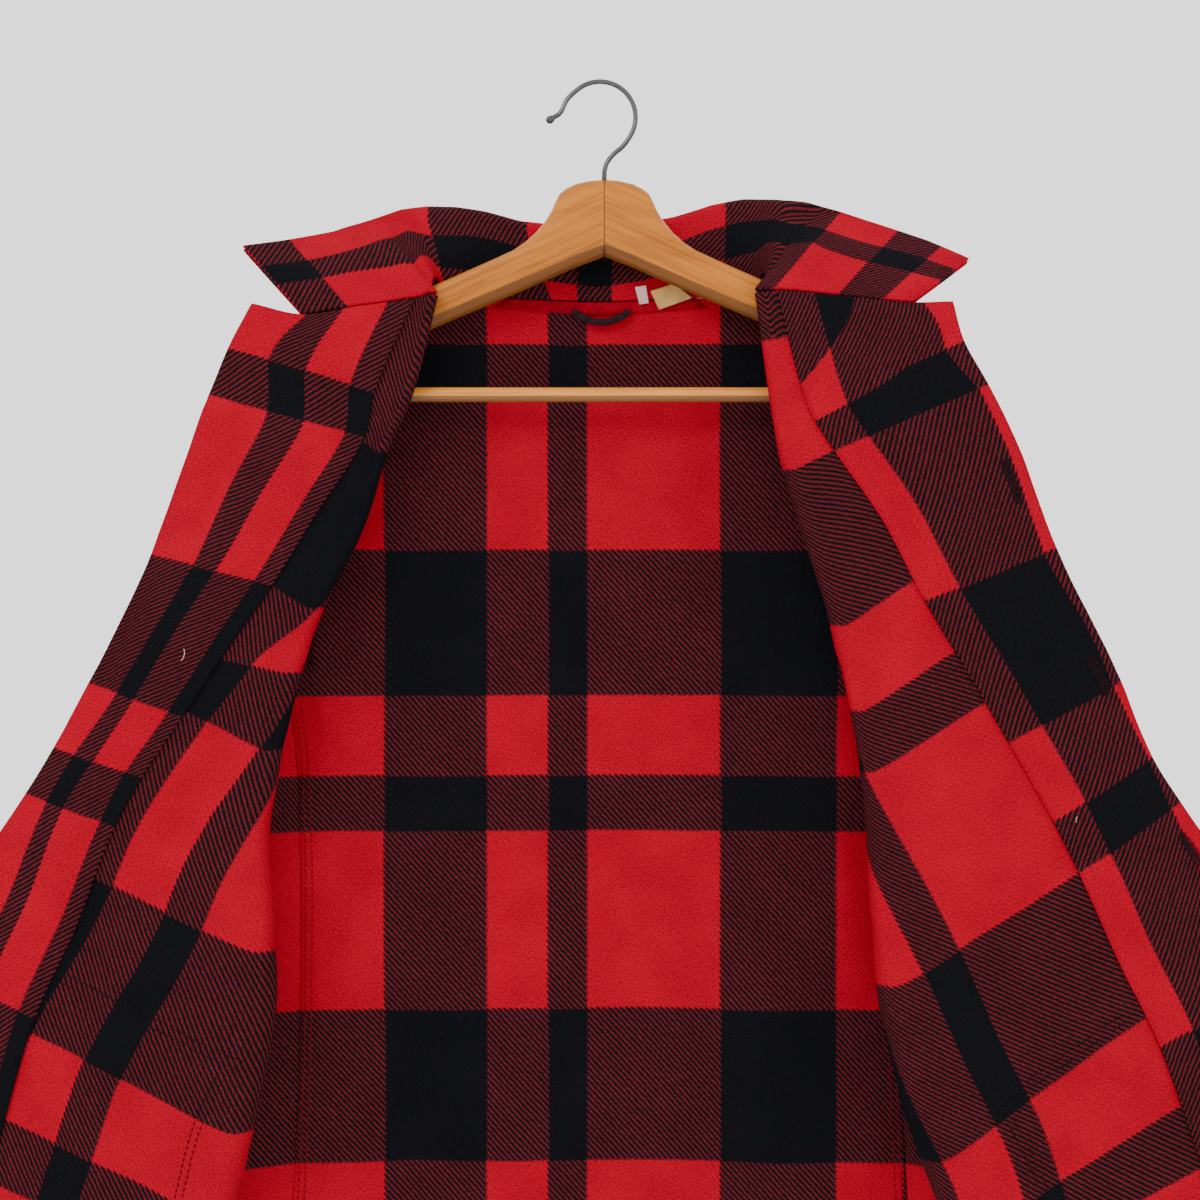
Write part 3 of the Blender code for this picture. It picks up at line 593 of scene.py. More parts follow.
def easeNormals(normals, ring=False, rounds=2):
    for _ in range(rounds):
        columns = len(normals[0])
        eased = []
        for i, line in enumerate(normals):
            above, below = normals[max(i - 1, 0)], normals[min(i + 1, len(normals) - 1)]
            made = []
            for j, normal in enumerate(line):
                left = line[(j - 1) % columns] if ring else line[max(j - 1, 0)]
                right = line[(j + 1) % columns] if ring else line[min(j + 1, columns - 1)]
                made.append((normal * 2 + left + right + above[j] + below[j]).normalized())
            eased.append(made)
        normals = eased
    return normals


crease = {
    "strength": 1.35,
    "atEnds": 0.35,
    "wander": 0.35,
    "broad": 0.018,  # the faint unevenness of the cloth, broad and fine
    "fine": 0.055,
}


# soft troughs (below zero) and ridges, each along a line in the x-z plane
def creaseRise(place, creases):
    rise = 0.0
    for (x0, z0), (x1, z1), wide, deep in creases:
        ax, az = x1 - x0, z1 - z0
        length = ax * ax + az * az
        share = max(0.0, min(1.0, ((place.x - x0) * ax + (place.z - z0) * az) / length))
        bend = wide * crease["wander"] * math.sin(share * 5 + x0)
        dx, dz = place.x - x0 - ax * share, place.z - z0 - az * share
        if share in (0.0, 1.0):
            bend = 0.0
        off = math.hypot(dx, dz) + (bend if dx * az > dz * ax else -bend)
        fade = mix(crease["atEnds"], 1.0, math.sin(math.pi * min(0.98, max(0.02, share))))
        rise += crease["strength"] * deep * fade * math.exp(-((off / wide) ** 2))
    return rise


# creases and a faint unevenness, held still at seams by the given share for each point
def pressCreases(grid, normals, creases, uneven, held, seed):
    made = []
    for i, (line, across) in enumerate(zip(grid, normals)):
        row = []
        for j, (place, normal) in enumerate(zip(line, across)):
            rise = creaseRise(place, creases)
            rise += uneven * noise.noise(place * crease["broad"] + Vector((seed, 0, 0)))
            rise += uneven * 0.4 * noise.noise(place * crease["fine"] + Vector((0, seed, 0)))
            row.append(place + normal * rise * held(i, j))
        made.append(row)
    return made


def pieceFrom(name, places, faces, paint, faceSetts=None, faceWeaves=None):
    mesh = bpy.data.meshes.new(name)
    mesh.from_pydata([place * mm for place in places], [], faces)
    for layer, values in (("sett", faceSetts), ("weave", faceWeaves)):
        if values:
            flat = []
            for u, v in values:
                flat += [u * mm, v * mm]
            mesh.uv_layers.new(name=layer).data.foreach_set("uv", flat)
    volume = 0.0
    for face in faces:
        corners = [places[c] for c in face]
        for k in range(1, len(corners) - 1):
            volume += corners[0].dot(corners[k].cross(corners[k + 1]))
    if volume < 0:  # every face looks outwards
        mesh.flip_normals()
    mesh.materials.append(paint)
    mesh.shade_smooth()
    piece = bpy.data.objects.new(name, mesh)
    bpy.context.scene.collection.objects.link(piece)
    return piece


# every piece moves with the one body; the node is what it stands for
def settle(piece, node=None):
    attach(piece, "root")
    if node:
        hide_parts(node)


# four-sided faces between rings of the same number of points
def ringFaces(rings, count, start=0):
    faces = []
    for i in range(rings - 1):
        a, b = start + i * count, start + (i + 1) * count
        for k in range(count):
            n = (k + 1) % count
            faces.append((a + k, a + n, b + n, b + k))
    return faces


# a closed wall between two offsets from the grid, with a rounded rim; a ring joins up round itself
def wallPiece(name, grid, normals, low, high, paint, sett, weave, ring=False):
    rows, columns = len(grid), len(grid[0])
    places = [p + n * low for line, across in zip(grid, normals) for p, n in zip(line, across)]
    places += [p + n * high for line, across in zip(grid, normals) for p, n in zip(line, across)]
    layer = rows * columns
    setts = [value for line in sett for value in line]
    weaves = [value for line in weave for value in line]
    faces, faceSetts, faceWeaves = [], [], []

    def addFace(corners):
        across = [c % layer % columns for c in corners]
        wraps = ring and max(across) - min(across) > 1
        faces.append(corners)
        for c in corners:
            at = c if c < 2 * layer else rims[c - 2 * layer]
            (su, sv), (wu, wv) = setts[at % layer], weaves[at % layer]
            if wraps and at % layer % columns == 0:
                su, wu = su + ringLength, wu + ringLength
            faceSetts.append((su, sv))
            faceWeaves.append((wu, wv))

    ringLength = 0.0
    if ring:
        ringLength = weave[0][-1][0] + (grid[0][0] - grid[0][-1]).length
    rims = []
    steps = columns if ring else columns - 1
    for i in range(rows - 1):
        for j in range(steps):
            k = (j + 1) % columns
            a, b, c, d = i * columns + j, i * columns + k, (i + 1) * columns + k, (i + 1) * columns + j
            addFace((a, b, c, d))
            addFace((layer + d, layer + c, layer + b, layer + a))
    loops = [[(0, j) for j in range(columns)], [(rows - 1, j) for j in reversed(range(columns))]]
    if not ring:
        outline = [(0, j) for j in range(columns)] + [(i, columns - 1) for i in range(1, rows)]
        outline += [(rows - 1, j) for j in range(columns - 2, -1, -1)]
        outline += [(i, 0) for i in range(rows - 2, 0, -1)]
        loops = [outline]
    for loop in loops:
        base = len(places)
        for i, j in loop:
            outward = Vector()
            if i == 0:
                outward += (grid[0][j] - grid[1][j]).normalized()
            if i == rows - 1:
                outward += (grid[-1][j] - grid[-2][j]).normalized()
            if not ring and j == 0:
                outward += (grid[i][0] - grid[i][1]).normalized()
            if not ring and j == columns - 1:
                outward += (grid[i][-1] - grid[i][-2]).normalized()
            middle = grid[i][j] + normals[i][j] * (low + high) / 2
            places.append(middle + outward.normalized() * abs(high - low) * cloth["rimRise"])
            rims.append(i * columns + j)
        for k in range(len(loop)):
            after = (k + 1) % len(loop)
            (i, j), (iAfter, jAfter) = loop[k], loop[after]
            a, b = i * columns + j, iAfter * columns + jAfter
            addFace((b, a, base + k, base + after))
            addFace((a + layer, b + layer, base + after, base + k))
    return pieceFrom(name, places, faces, paint, faceSetts, faceWeaves)


# sheets end half a seam's gap short of each other
def pullIn(grid, edges):
    amount = cloth["seamGap"] / 2
    made = [[place.copy() for place in row] for row in grid]
    for edge, at, beside in (("left", 0, 1), ("right", -1, -2)):
        if edge in edges:
            for row, line in zip(made, grid):
                ahead = line[beside] - line[at]
                row[at] += ahead.normalized() * min(amount, ahead.length * 0.5)
    if "top" in edges:
        for j in range(len(grid[0])):
            made[0][j] += (grid[1][j] - grid[0][j]).normalized() * amount
    return made


# where two sheets meet they share one direction, so that the seam isn't seen as a step
def shareNormals(sheets):
    def spot(place):
        return tuple(round(value, 1) for value in place)

    found = {}
    for grid, normals in sheets:
        for line, across in zip(grid, normals):
            for j in (0, -1):
                found.setdefault(spot(line[j]), []).append(across[j])
    for grid, normals in sheets:
        for line, across in zip(grid, normals):
            for j in (0, -1):
                across[j] = sum(found[spot(line[j])], Vector()).normalized()


# where the plaid runs: u across the cloth and v down it, in millimetres
sett = {
    "backU": (
        (-213, -57), (-153.5, 0), (-80.7, 72), (-37.1, 112), (-9.3, 140), (85.7, 230), (167.8, 302),
        (213, 340),
    ),
    "backV": (
        (-760.8, 417), (-652.3, 315), (-525.2, 196), (-486, 157), (-428.8, 102), (-325.3, 0), (-214.6, -119),
        (-178.9, -158), (-147, -190),
    ),
    "flapV": {
        -1: ((72, 0), (189, 102), (245, 157), (287, 196), (417, 315), (515, 417), (575, 472)),
        1: (
            (0, -140), (11, -119), (69, 0), (174, 102), (226, 157), (263, 196), (385, 315), (484, 417),
            (549, 472),
        ),
    },
    "faceLeft": ((72, 60), (184.8, 38), (237, 23), (287, 16), (418, 14), (521, 1), (606, -4)),
    "foldRight": ((0, 230), (97, 140), (126, 112), (170, 72), (242, 0)),
    "facingRight": {  # by down: the widths of the black, red and black warp bands from the inner edge
        "downs": (30, 70, 189, 291, 346, 385, 504),
        "black": (18, 13.5, 12.6, 10.6, 12, 10.5, 12),
        "red": (30, 27.7, 26, 23, 21.6, 25.5, 25),
        "narrow": (26, 25.6, 14.6, 12, 13.7, 12, 13),
    },
    "facingLeft": {
        "downs": (30, 70, 189, 240, 291, 346, 385),
        "red": 25,
        "black": (75, 81, 61, 61, 55, 52, 51),
    },
    "collarV": (
        (-249, -158), (-217.7, -119), (-121.8, 0), (-52.5, 102), (-16, 157), (8.4, 196), (90, 315),
        (168.7, 417), (209, 472), (238.7, 511),
    ),
    "collarLow": (
        (-249, 0.4), (-193, 0.404), (-127, 0.35), (0, 0.18), (122, 0.5), (167, 0.585), (191, 0.47),
        (257, 0.47),
    ),
    "collarHigh": (
        (-249, 0.67), (-193, 0.67), (-127, 0.8), (0, 0.63), (122, 0.9), (167, 0.77), (191, 0.72), (257, 0.72),
    ),
    "round": 460,  # two repeats, so that the plaid meets itself at a sleeve's underarm
}


def arcsAcross(line, start):
    arcs = [0.0] * len(line)
    for j in range(start + 1, len(line)):
        arcs[j] = arcs[j - 1] + (line[j] - line[j - 1]).length
    for j in range(start - 1, -1, -1):
        arcs[j] = arcs[j + 1] - (line[j + 1] - line[j]).length
    return arcs


thirdColumn = columnOf(front["counts"], 3)
turnColumn = columnOf(front["counts"], 4)
faceColumn = columnOf(front["counts"], 10)


def lengthsDown(grid, level):
    lengths = [[0.0] * len(grid[0])]
    for above, line in zip(grid, grid[1:]):
        lengths.append([length + (b - a).length for length, a, b in zip(lengths[-1], above, line)])
    still = lengths[level]
    return [[length - start for length, start in zip(line, still)] for line in lengths]


# rows of paired places, parted into a grid of each
def parted(rows):
    return [[[pair[k] for pair in row] for row in rows] for k in (0, 1)]


def frontMaps(side, grid):
    rows = []
    lengths = lengthsDown(grid, columnOf(rowCounts, 4))
    for i, line in enumerate(grid):
        arcs = arcsAcross(line, faceColumn)
        down = downs[i]
        flapV = follow(sett["flapV"][side], down)
        row = []
        for j, place in enumerate(line):
            inward = -arcs[j]  # towards the fold
            if side < 0:
                flapU = min(222.0, 72 - follow(sett["faceLeft"], down, hold=True) + inward)
            else:
                flapU = follow(sett["foldRight"], inward)
            bodyV = follow(sett["backV"], place.z)
            bodyU = 186 + (inward + arcs[thirdColumn]) * 0.5
            share = smooth((j - thirdColumn + 1) / (turnColumn - thirdColumn))
            woven = (side * mix(arcs[j] - arcs[0], arcs[j], share), mix(-place.z, lengths[i][j], share))
            row.append(((mix(bodyU, flapU, share), mix(bodyV, flapV, share)), woven))
        rows.append(row)
    return parted(rows)


def facingMaps(side, grid):
    rows = []
    lengths = lengthsDown(grid, columnOf(rowCounts, 4))
    for i, line in enumerate(grid):
        arcs = arcsAcross(line, 0)
        down = downs[i]
        row = []
        if side < 0:
            widths = sett["facingRight"]
            black, red, narrow = (
                follow(list(zip(widths["downs"], widths[band])), down, hold=True)
                for band in ("black", "red", "narrow")
            )
            last = black + red + narrow
            marks = ((0, 72 - black), (black, 72), (black + red, 112), (last, 140), (last + 85, 225))
        else:
            widths = sett["facingLeft"]
            red = widths["red"]
            black = follow(list(zip(widths["downs"], widths["black"])), down, hold=True)
            marks = ((0, 97), (red, 72), (red + black, 0), (red + black + 85, -85))
        for j, arc in enumerate(arcs):
            # by the wearer's left neck the plaid climbs towards the collar
            climb = 95 * max(0.0, 1 - arc / 70) * max(0.0, 1 - down / 45) if side > 0 else 0.0
            row.append(((follow(marks, arc), down - 189 - climb), (side * -arc, lengths[i][j])))
        rows.append(row)
    return parted(rows)


def backMaps(grid):
    setts, weaves = [], []
    middle = len(grid[0]) // 2
    for line in grid:
        arcs = arcsAcross(line, middle)
        setts.append([(follow(sett["backU"], place.x), follow(sett["backV"], place.z)) for place in line])
        weaves.append([(arc, -place.z) for arc, place in zip(arcs, line)])
    return setts, weaves


def collarMaps(marks):
    rows = []
    for line in marks:
        row = []
        for x, walked, share, length in line:
            low, high = follow(sett["collarLow"], x, hold=True), follow(sett["collarHigh"], x, hold=True)
            u = follow(((0, 75), (low, 112), (high, 140), (high + 1.0, 230)), share)
            row.append(((u, follow(sett["collarV"], x)), (-length, -walked)))
        rows.append(row)
    return parted(rows)


def sleeveMaps(grid):
    setts, weaves = [], []
    along = 0.0
    for i, line in enumerate(grid):
        if i:
            along += (line[0] - grid[i - 1][0]).length
        arcs = arcsAcross(line, 0)
        whole = arcs[-1] + (line[0] - line[-1]).length
        setts.append([(40 + arc * sett["round"] / whole, along - 60) for arc in arcs])
        weaves.append([(arc * sett["round"] / whole, along) for arc in arcs])
    return setts, weaves


class Nodes:
    def __init__(self, tree):
        self.tree = tree

    def add(self, kind, inputs=None, **settings):
        node = self.tree.nodes.new(kind)
        for name, value in settings.items():
            setattr(node, name, value)
        for name, value in (inputs or {}).items():
            self.give(node.inputs[name], value)
        return node

    def give(self, socket, value):
        if isinstance(value, bpy.types.NodeSocket):
            self.tree.links.new(value, socket)
        else:
            socket.default_value = value

    def math(self, operation, first, second=0.0, clamp=False):
        node = self.add("ShaderNodeMath", {0: first, 1: second}, operation=operation, use_clamp=clamp)
        return node.outputs[0]

    def plus(self, first, second, clamp=False):
        return self.math("ADD", first, second, clamp)

    def minus(self, first, second):
        return self.math("SUBTRACT", first, second)

    def times(self, first, second):
        return self.math("MULTIPLY", first, second)

    def mapRange(self, value, fromLow, fromHigh, toLow=0.0, toHigh=1.0, smoothly=True):
        node = self.add(
            "ShaderNodeMapRange",
            {"Value": value, "From Min": fromLow, "From Max": fromHigh, "To Min": toLow, "To Max": toHigh},
            interpolation_type="SMOOTHSTEP" if smoothly else "LINEAR",
        )
        return node.outputs["Result"]

    def mixColour(self, share, first, second):
        node = self.add("ShaderNodeMix", data_type="RGBA")
        self.give(node.inputs[0], share)
        self.give(node.inputs[6], first)
        self.give(node.inputs[7], second)
        return node.outputs[2]

    def noiseAt(self, vector, scale, detail=2.0, rough=0.5):
        inputs = {"Vector": vector, "Scale": scale, "Detail": detail, "Roughness": rough}
        return self.add("ShaderNodeTexNoise", inputs).outputs["Fac"]

    def scaled(self, vector, factors):
        node = self.add("ShaderNodeVectorMath", {0: vector, 1: factors}, operation="MULTIPLY")
        return node.outputs[0]

    def combined(self, x, y, z=0.0):
        return self.add("ShaderNodeCombineXYZ", {0: x, 1: y, 2: z}).outputs[0]


def newGroup(name, inputs):
    tree = bpy.data.node_groups.new(name, "ShaderNodeTree")
    for socketName, kind, value in inputs:
        socket = tree.interface.new_socket(socketName, in_out="INPUT", socket_type="NodeSocket" + kind)
        socket.default_value = value
    for socketName, kind in (("Colour", "Color"), ("Roughness", "Float"), ("Normal", "Vector")):
        tree.interface.new_socket(socketName, in_out="OUTPUT", socket_type="NodeSocket" + kind)
    nodes = Nodes(tree)
    return nodes, nodes.add("NodeGroupInput").outputs


def closeGroup(nodes, colour, rough, relief, distance, height):
    bump = nodes.add("ShaderNodeBump", {"Strength": relief, "Distance": distance, "Height": height})
    nodes.add("NodeGroupOutput", {"Colour": colour, "Roughness": rough, "Normal": bump.outputs[0]})
    return nodes.tree


plaid = {
    "warpRepeat": 230.0,
    "warpBlack": ((0, 72), (112, 140)),
    "weftRepeat": 315.0,
    "weftBlack": ((0, 102), (157, 196)),
    "twillPitch": 4.15,  # across, from one diagonal to the next
    "twillSlope": 0.92,
    "bandSoft": 0.5,
    "bandRagged": 1.3,
    "red": (0.385, 0.0005, 0.014, 1),
    "redDeep": (0.20, 0.0004, 0.008, 1),
    "twillRed": (0.13, 0.012, 0.017, 1),  # red threads seen between the black ones
    "twillDeep": (0.05, 0.005, 0.008, 1),
    "black": (0.0024, 0.0031, 0.0044, 1),
    "blackWorn": (0.009, 0.008, 0.010, 1),
    "relief": 0.55,
}


def bandMask(nodes, value, repeat, bands, shift):
    moved = nodes.minus(nodes.math("FLOORED_MODULO", nodes.plus(value, shift), repeat), shift)
    total = None
    for low, high in bands:
        off = nodes.math("ABSOLUTE", nodes.minus(moved, (low + high) / 2))
        half = (high - low) / 2
        mask = nodes.mapRange(off, half + plaid["bandSoft"], half - plaid["bandSoft"])
        total = mask if total is None else nodes.plus(total, mask, clamp=True)
    return total


def makePlaidGroup():
    nodes, given = newGroup("plaidWool", [("Relief", "Float", plaid["relief"])])
    settPlace = nodes.add("ShaderNodeUVMap", uv_map="sett").outputs[0]
    weavePlace = nodes.add("ShaderNodeUVMap", uv_map="weave").outputs[0]
    millimetres = nodes.scaled(weavePlace, (1000, 1000, 1000))
    settParts = nodes.add("ShaderNodeSeparateXYZ", {0: nodes.scaled(settPlace, (1000, 1000, 1000))})
    weaveParts = nodes.add("ShaderNodeSeparateXYZ", {0: millimetres})
    across, down = weaveParts.outputs[0], weaveParts.outputs[1]

    fibre = nodes.noiseAt(millimetres, 0.85, 3.0, 0.65)  # the nap, about a millimetre
    tuft = nodes.noiseAt(millimetres, 0.33, 2.0, 0.5)
    cloud = nodes.noiseAt(millimetres, 0.022, 3.0, 0.55)
    ragged = nodes.times(nodes.minus(fibre, 0.5), plaid["bandRagged"] * 2)

    slanted = nodes.minus(across, nodes.times(down, plaid["twillSlope"]))
    slanted = nodes.plus(slanted, nodes.times(nodes.minus(tuft, 0.5), 1.9))
    phase = nodes.math("FRACT", nodes.math("DIVIDE", slanted, plaid["twillPitch"]))
    ridge = nodes.times(nodes.math("ABSOLUTE", nodes.minus(phase, 0.5)), 2.0)
    torn = nodes.plus(ridge, nodes.times(nodes.minus(fibre, 0.5), 1.5))
    twill = nodes.mapRange(torn, 0.12, 0.72)

    # each band ends on the twill's steps, so its edge is toothed
    step = nodes.times(nodes.minus(ridge, 0.5), 1.5)
    u = nodes.plus(nodes.plus(settParts.outputs[0], ragged), step)
    v = nodes.plus(nodes.plus(settParts.outputs[1], ragged), step)
    warp = bandMask(nodes, u, plaid["warpRepeat"], plaid["warpBlack"], 79.0)
    weft = bandMask(nodes, v, plaid["weftRepeat"], plaid["weftBlack"], 60.0)
    both = nodes.times(warp, weft)
    mixed = nodes.minus(nodes.plus(warp, weft), nodes.times(both, 2.0))
    dark = nodes.plus(both, nodes.times(mixed, twill), clamp=True)

    red = nodes.mixColour(nodes.mapRange(fibre, 0.3, 0.62), plaid["redDeep"], plaid["red"])
    lines = nodes.times(nodes.mapRange(ridge, 0.2, 0.9), 0.16)
    red = nodes.mixColour(lines, red, plaid["redDeep"])
    black = nodes.mixColour(nodes.mapRange(fibre, 0.5, 0.75), plaid["black"], plaid["blackWorn"])
    fleck = nodes.times(nodes.mapRange(nodes.noiseAt(millimetres, 1.15, 1.0), 0.66, 0.74), 0.10)
    black = nodes.mixColour(fleck, black, plaid["red"])
    dim = nodes.times(mixed, nodes.mapRange(tuft, 0.25, 0.75, 1.0, 0.9))
    thread = nodes.mixColour(nodes.mapRange(fibre, 0.38, 0.62), plaid["twillDeep"], plaid["twillRed"])
    colour = nodes.mixColour(dark, nodes.mixColour(dim, red, thread), black)
    shade = nodes.mapRange(cloud, 0.25, 0.75, 0.90, 1.07)
    brightness = nodes.add("ShaderNodeHueSaturation", {"Value": shade, "Color": colour})
    height = nodes.plus(nodes.times(ridge, 0.35), nodes.times(fibre, 0.65))
    height = nodes.plus(height, nodes.times(tuft, 0.5))
    rough = nodes.mapRange(fibre, 0.3, 0.7, 0.98, 0.86)
    return closeGroup(nodes, brightness.outputs[0], rough, given["Relief"], 0.0009, height)


def makeThreadGroup():
    inputs = [("Colour", "Color", (0.5, 0.5, 0.5, 1)), ("Worn", "Color", (0.4, 0.4, 0.4, 1))]
    nodes, given = newGroup("fineWeave", [*inputs, ("Thread", "Float", 0.7), ("Relief", "Float", 0.5)])
    place = nodes.scaled(nodes.add("ShaderNodeUVMap", uv_map="weave").outputs[0], (1000, 1000, 1000))
    parts = nodes.add("ShaderNodeSeparateXYZ", {0: place})
    turn = nodes.math("DIVIDE", 2 * math.pi, given["Thread"])
    waves = [nodes.math("SINE", nodes.times(parts.outputs[k], turn)) for k in (0, 1)]
    woven = nodes.times(waves[0], waves[1])
    fibre = nodes.noiseAt(place, 1.6, 3.0, 0.6)
    stain = nodes.noiseAt(place, 0.12, 3.0, 0.6)
    share = nodes.plus(nodes.mapRange(stain, 0.35, 0.7, 0.0, 0.7), nodes.times(woven, 0.22), clamp=True)
    colour = nodes.mixColour(share, given["Colour"], given["Worn"])
    height = nodes.plus(nodes.times(woven, 0.5), fibre)
    rough = nodes.mapRange(fibre, 0.3, 0.7, 0.95, 0.75)
    return closeGroup(nodes, colour, rough, given["Relief"], 0.0004, height)


# wood grain, with painted shade on faces that turn downwards
def makeGrainShadeGroup():
    inputs = [("Light", "Color", (0.6, 0.35, 0.15, 1)), ("Dark", "Color", (0.4, 0.2, 0.08, 1))]
    # the last colour is painted shade, laid on the faces that turn downwards
    inputs += [("Slope", "Float", 0.0), ("UndersideShade", "Color", (0.085, 0.030, 0.008, 1))]
    nodes, given = newGroup("woodGrainAndShade", inputs)
    place = nodes.add("ShaderNodeTexCoord").outputs["Object"]
    x, y, z = nodes.add("ShaderNodeSeparateXYZ", {0: place}).outputs
    across = nodes.plus(z, nodes.times(x, given["Slope"]))
    grain, pores = (
        nodes.combined(nodes.times(x, long), nodes.times(y, wide), nodes.times(across, high))
        for long, wide, high in ((14.0, 160.0, 300.0), (60.0, 900.0, 1500.0))
    )
    rings = nodes.noiseAt(grain, 1.0, 4.0, 0.6)
    fine = nodes.noiseAt(pores, 1.0, 2.0, 0.6)
    streak = nodes.noiseAt(nodes.scaled(place, (8, 60, 60)), 1.0, 2.0, 0.5)
    share = nodes.mapRange(rings, 0.35, 0.68, 0.0, 0.62)
    share = nodes.plus(share, nodes.mapRange(fine, 0.6, 0.75, 0.0, 0.45), clamp=True)
    share = nodes.plus(share, nodes.mapRange(streak, 0.3, 0.75, -0.12, 0.25), clamp=True)
    colour = nodes.mixColour(share, given["Light"], given["Dark"])
    facing = nodes.add("ShaderNodeSeparateXYZ", {0: nodes.add("ShaderNodeNewGeometry").outputs["Normal"]})
    under = nodes.mapRange(facing.outputs[2], -0.12, -0.36, 0.0, 0.8)  # painted shade: faces turned downwards, the bevel under the arm, are darkened as if in shadow
    colour = nodes.mixColour(under, colour, given["UndersideShade"])
    rough = nodes.mapRange(fine, 0.3, 0.7, 0.34, 0.55)
    return closeGroup(nodes, colour, rough, 0.25, 0.0003, nodes.minus(rings, fine))


def paintWith(name, group, values=None, uniform=None):
    paint = bpy.data.materials.new(name)
    paint.use_nodes = True
    nodes = Nodes(paint.node_tree)
    shader = paint.node_tree.nodes["Principled BSDF"]
    for socket, value in (uniform or {}).items():
        shader.inputs[socket].default_value = value
    effect = nodes.add("ShaderNodeGroup", node_tree=group)
    for socket, value in (values or {}).items():
        effect.inputs[socket].default_value = value
    for socket, output in (("Base Color", "Colour"), ("Roughness", "Roughness"), ("Normal", "Normal")):
        nodes.give(shader.inputs[socket], effect.outputs[output])
    return paint


plaidGroup = makePlaidGroup()
threadGroup = makeThreadGroup()
grainShadeGroup = makeGrainShadeGroup()
wool = {"Specular IOR Level": 0.05}


def woolPaint(name):
    return paintWith(name, plaidGroup, {"Relief": plaid["relief"]}, wool)


# two clouded colours and fine scratches, for what isn't cloth or wood
def plainPaint(name, colours, stretch, rough, metallic=0.0, relief=0.1, shine=0.5):
    paint = bpy.data.materials.new(name)
    paint.use_nodes = True
    nodes = Nodes(paint.node_tree)
    shader = paint.node_tree.nodes["Principled BSDF"]
    shader.inputs["Metallic"].default_value = metallic
    shader.inputs["Specular IOR Level"].default_value = shine
    place = nodes.scaled(nodes.add("ShaderNodeTexCoord").outputs["Object"], stretch)
    cloud = nodes.noiseAt(place, 1.0, 3.0, 0.6)
    scratch = nodes.noiseAt(place, 7.0, 2.0, 0.6)
    nodes.give(shader.inputs["Base Color"], nodes.mixColour(nodes.mapRange(cloud, 0.35, 0.65), *colours))
    nodes.give(shader.inputs["Roughness"], nodes.mapRange(scratch, 0.3, 0.7, *rough))
    bump = nodes.add("ShaderNodeBump", {"Strength": relief, "Distance": 0.0002, "Height": scratch})
    nodes.give(shader.inputs["Normal"], bump.outputs[0])
    return paint


print("materials are made")

backGrid = drawBack()
backNormals = gridNormals(backGrid, -1)
fronts, frontNormals = {}, {}
for side in (-1, 1):
    fronts[side] = drawFront(side)
    frontNormals[side] = gridNormals(fronts[side], -side)
shareNormals([(backGrid, backNormals), *((fronts[side], frontNormals[side]) for side in (-1, 1))])

# troughs and ridges: start, end, width, depth (below zero sinks away from the inside of the jacket)
creases = {
    "back": [
        ((-120, -330), (-190, -560), 22, -4.0),
        ((-60, -300), (-95, -640), 26, 2.4),
        ((70, -240), (120, -520), 24, -3.2),
        ((150, -300), (178, -620), 20, 3.0),
        ((10, -420), (40, -800), 30, -2.6),
        ((-150, -640), (-120, -850), 22, -3.4),
        ((110, -640), (150, -860), 24, 3.2),
        ((-30, -560), (-70, -860), 24, 2.2),
        ((-170, -230), (-90, -215), 14, -1.6),
        ((90, -200), (180, -245), 13, -1.8),
    ],
    -1: [
        ((-241, -235), (-279, -324), 8, -2.4),
        ((-262, -228), (-270, -246), 8, 1.6),
        ((-230, -250), (-266, -345), 8, 1.8),
        ((-300, -330), (-340, -440), 8, -2.8),
        ((-250, -420), (-300, -560), 14, -3.6),
        ((-290, -520), (-262, -700), 16, 2.6),
        ((-340, -560), (-372, -720), 13, -2.2),
        ((-400, -520), (-430, -660), 13, 2.0),
        ((-320, -700), (-300, -850), 16, -3.0),
        ((-245, -640), (-262, -820), 12, 2.6),
    ],
    1: [
        ((178, -330), (178, -540), 12, -3.0),
        ((205, -420), (215, -600), 14, 2.2),
        ((160, -398), (224, -371), 6, 1.5),
        ((262, -330), (300, -430), 10, -1.6),
        ((300, -300), (340, -420), 11, 1.8),
        ((250, -560), (292, -700), 16, -2.6),
        ((330, -560), (372, -690), 14, 2.2),
        ((230, -690), (262, -850), 15, 2.8),
        ((300, -720), (330, -860), 16, -2.8),
        ((420, -600), (470, -740), 13, -2.0),
    ],
    "sleeve": [
        ((300, -380), (262, -430), 9, -3.4),
        ((330, -430), (268, -470), 10, -3.8),
        ((352, -470), (276, -520), 9, 3.0),
        ((362, -530), (280, -560), 10, -3.2),
        ((320, -300), (280, -420), 16, -2.6),
        ((350, -560), (330, -780), 18, 2.6),
        ((300, -600), (310, -780), 15, -2.6),
        ((372, -700), (290, -730), 9, -2.2),
    ],
    "collar": [
        ((-215, -120), (-170, -104), 8, -1.2),
        ((-190, -150), (-150, -125), 10, 1.2),
        ((150, -100), (200, -112), 9, -1.2),
        ((190, -140), (150, -118), 9, 1.1),
    ],
}


def backHeld(i, j):
    last = len(backGrid[0]) - 1
    return smooth(i / 10) * smooth(min(j, last - j) / 8)


def frontHeld(i, j):
    return smooth(j / 6) * smooth(i / 8)


backGrid = pressCreases(backGrid, backNormals, creases["back"], 2.2, backHeld, 3.0)
backNormals = easeNormals(gridNormals(backGrid, -1), rounds=1)
for side in (-1, 1):
    fronts[side] = pressCreases(fronts[side], frontNormals[side], creases[side], 1.6, frontHeld, 7.0 + side)
    frontNormals[side] = easeNormals(gridNormals(fronts[side], -side), rounds=1)
shareNormals([(backGrid, backNormals), *((fronts[side], frontNormals[side]) for side in (-1, 1))])


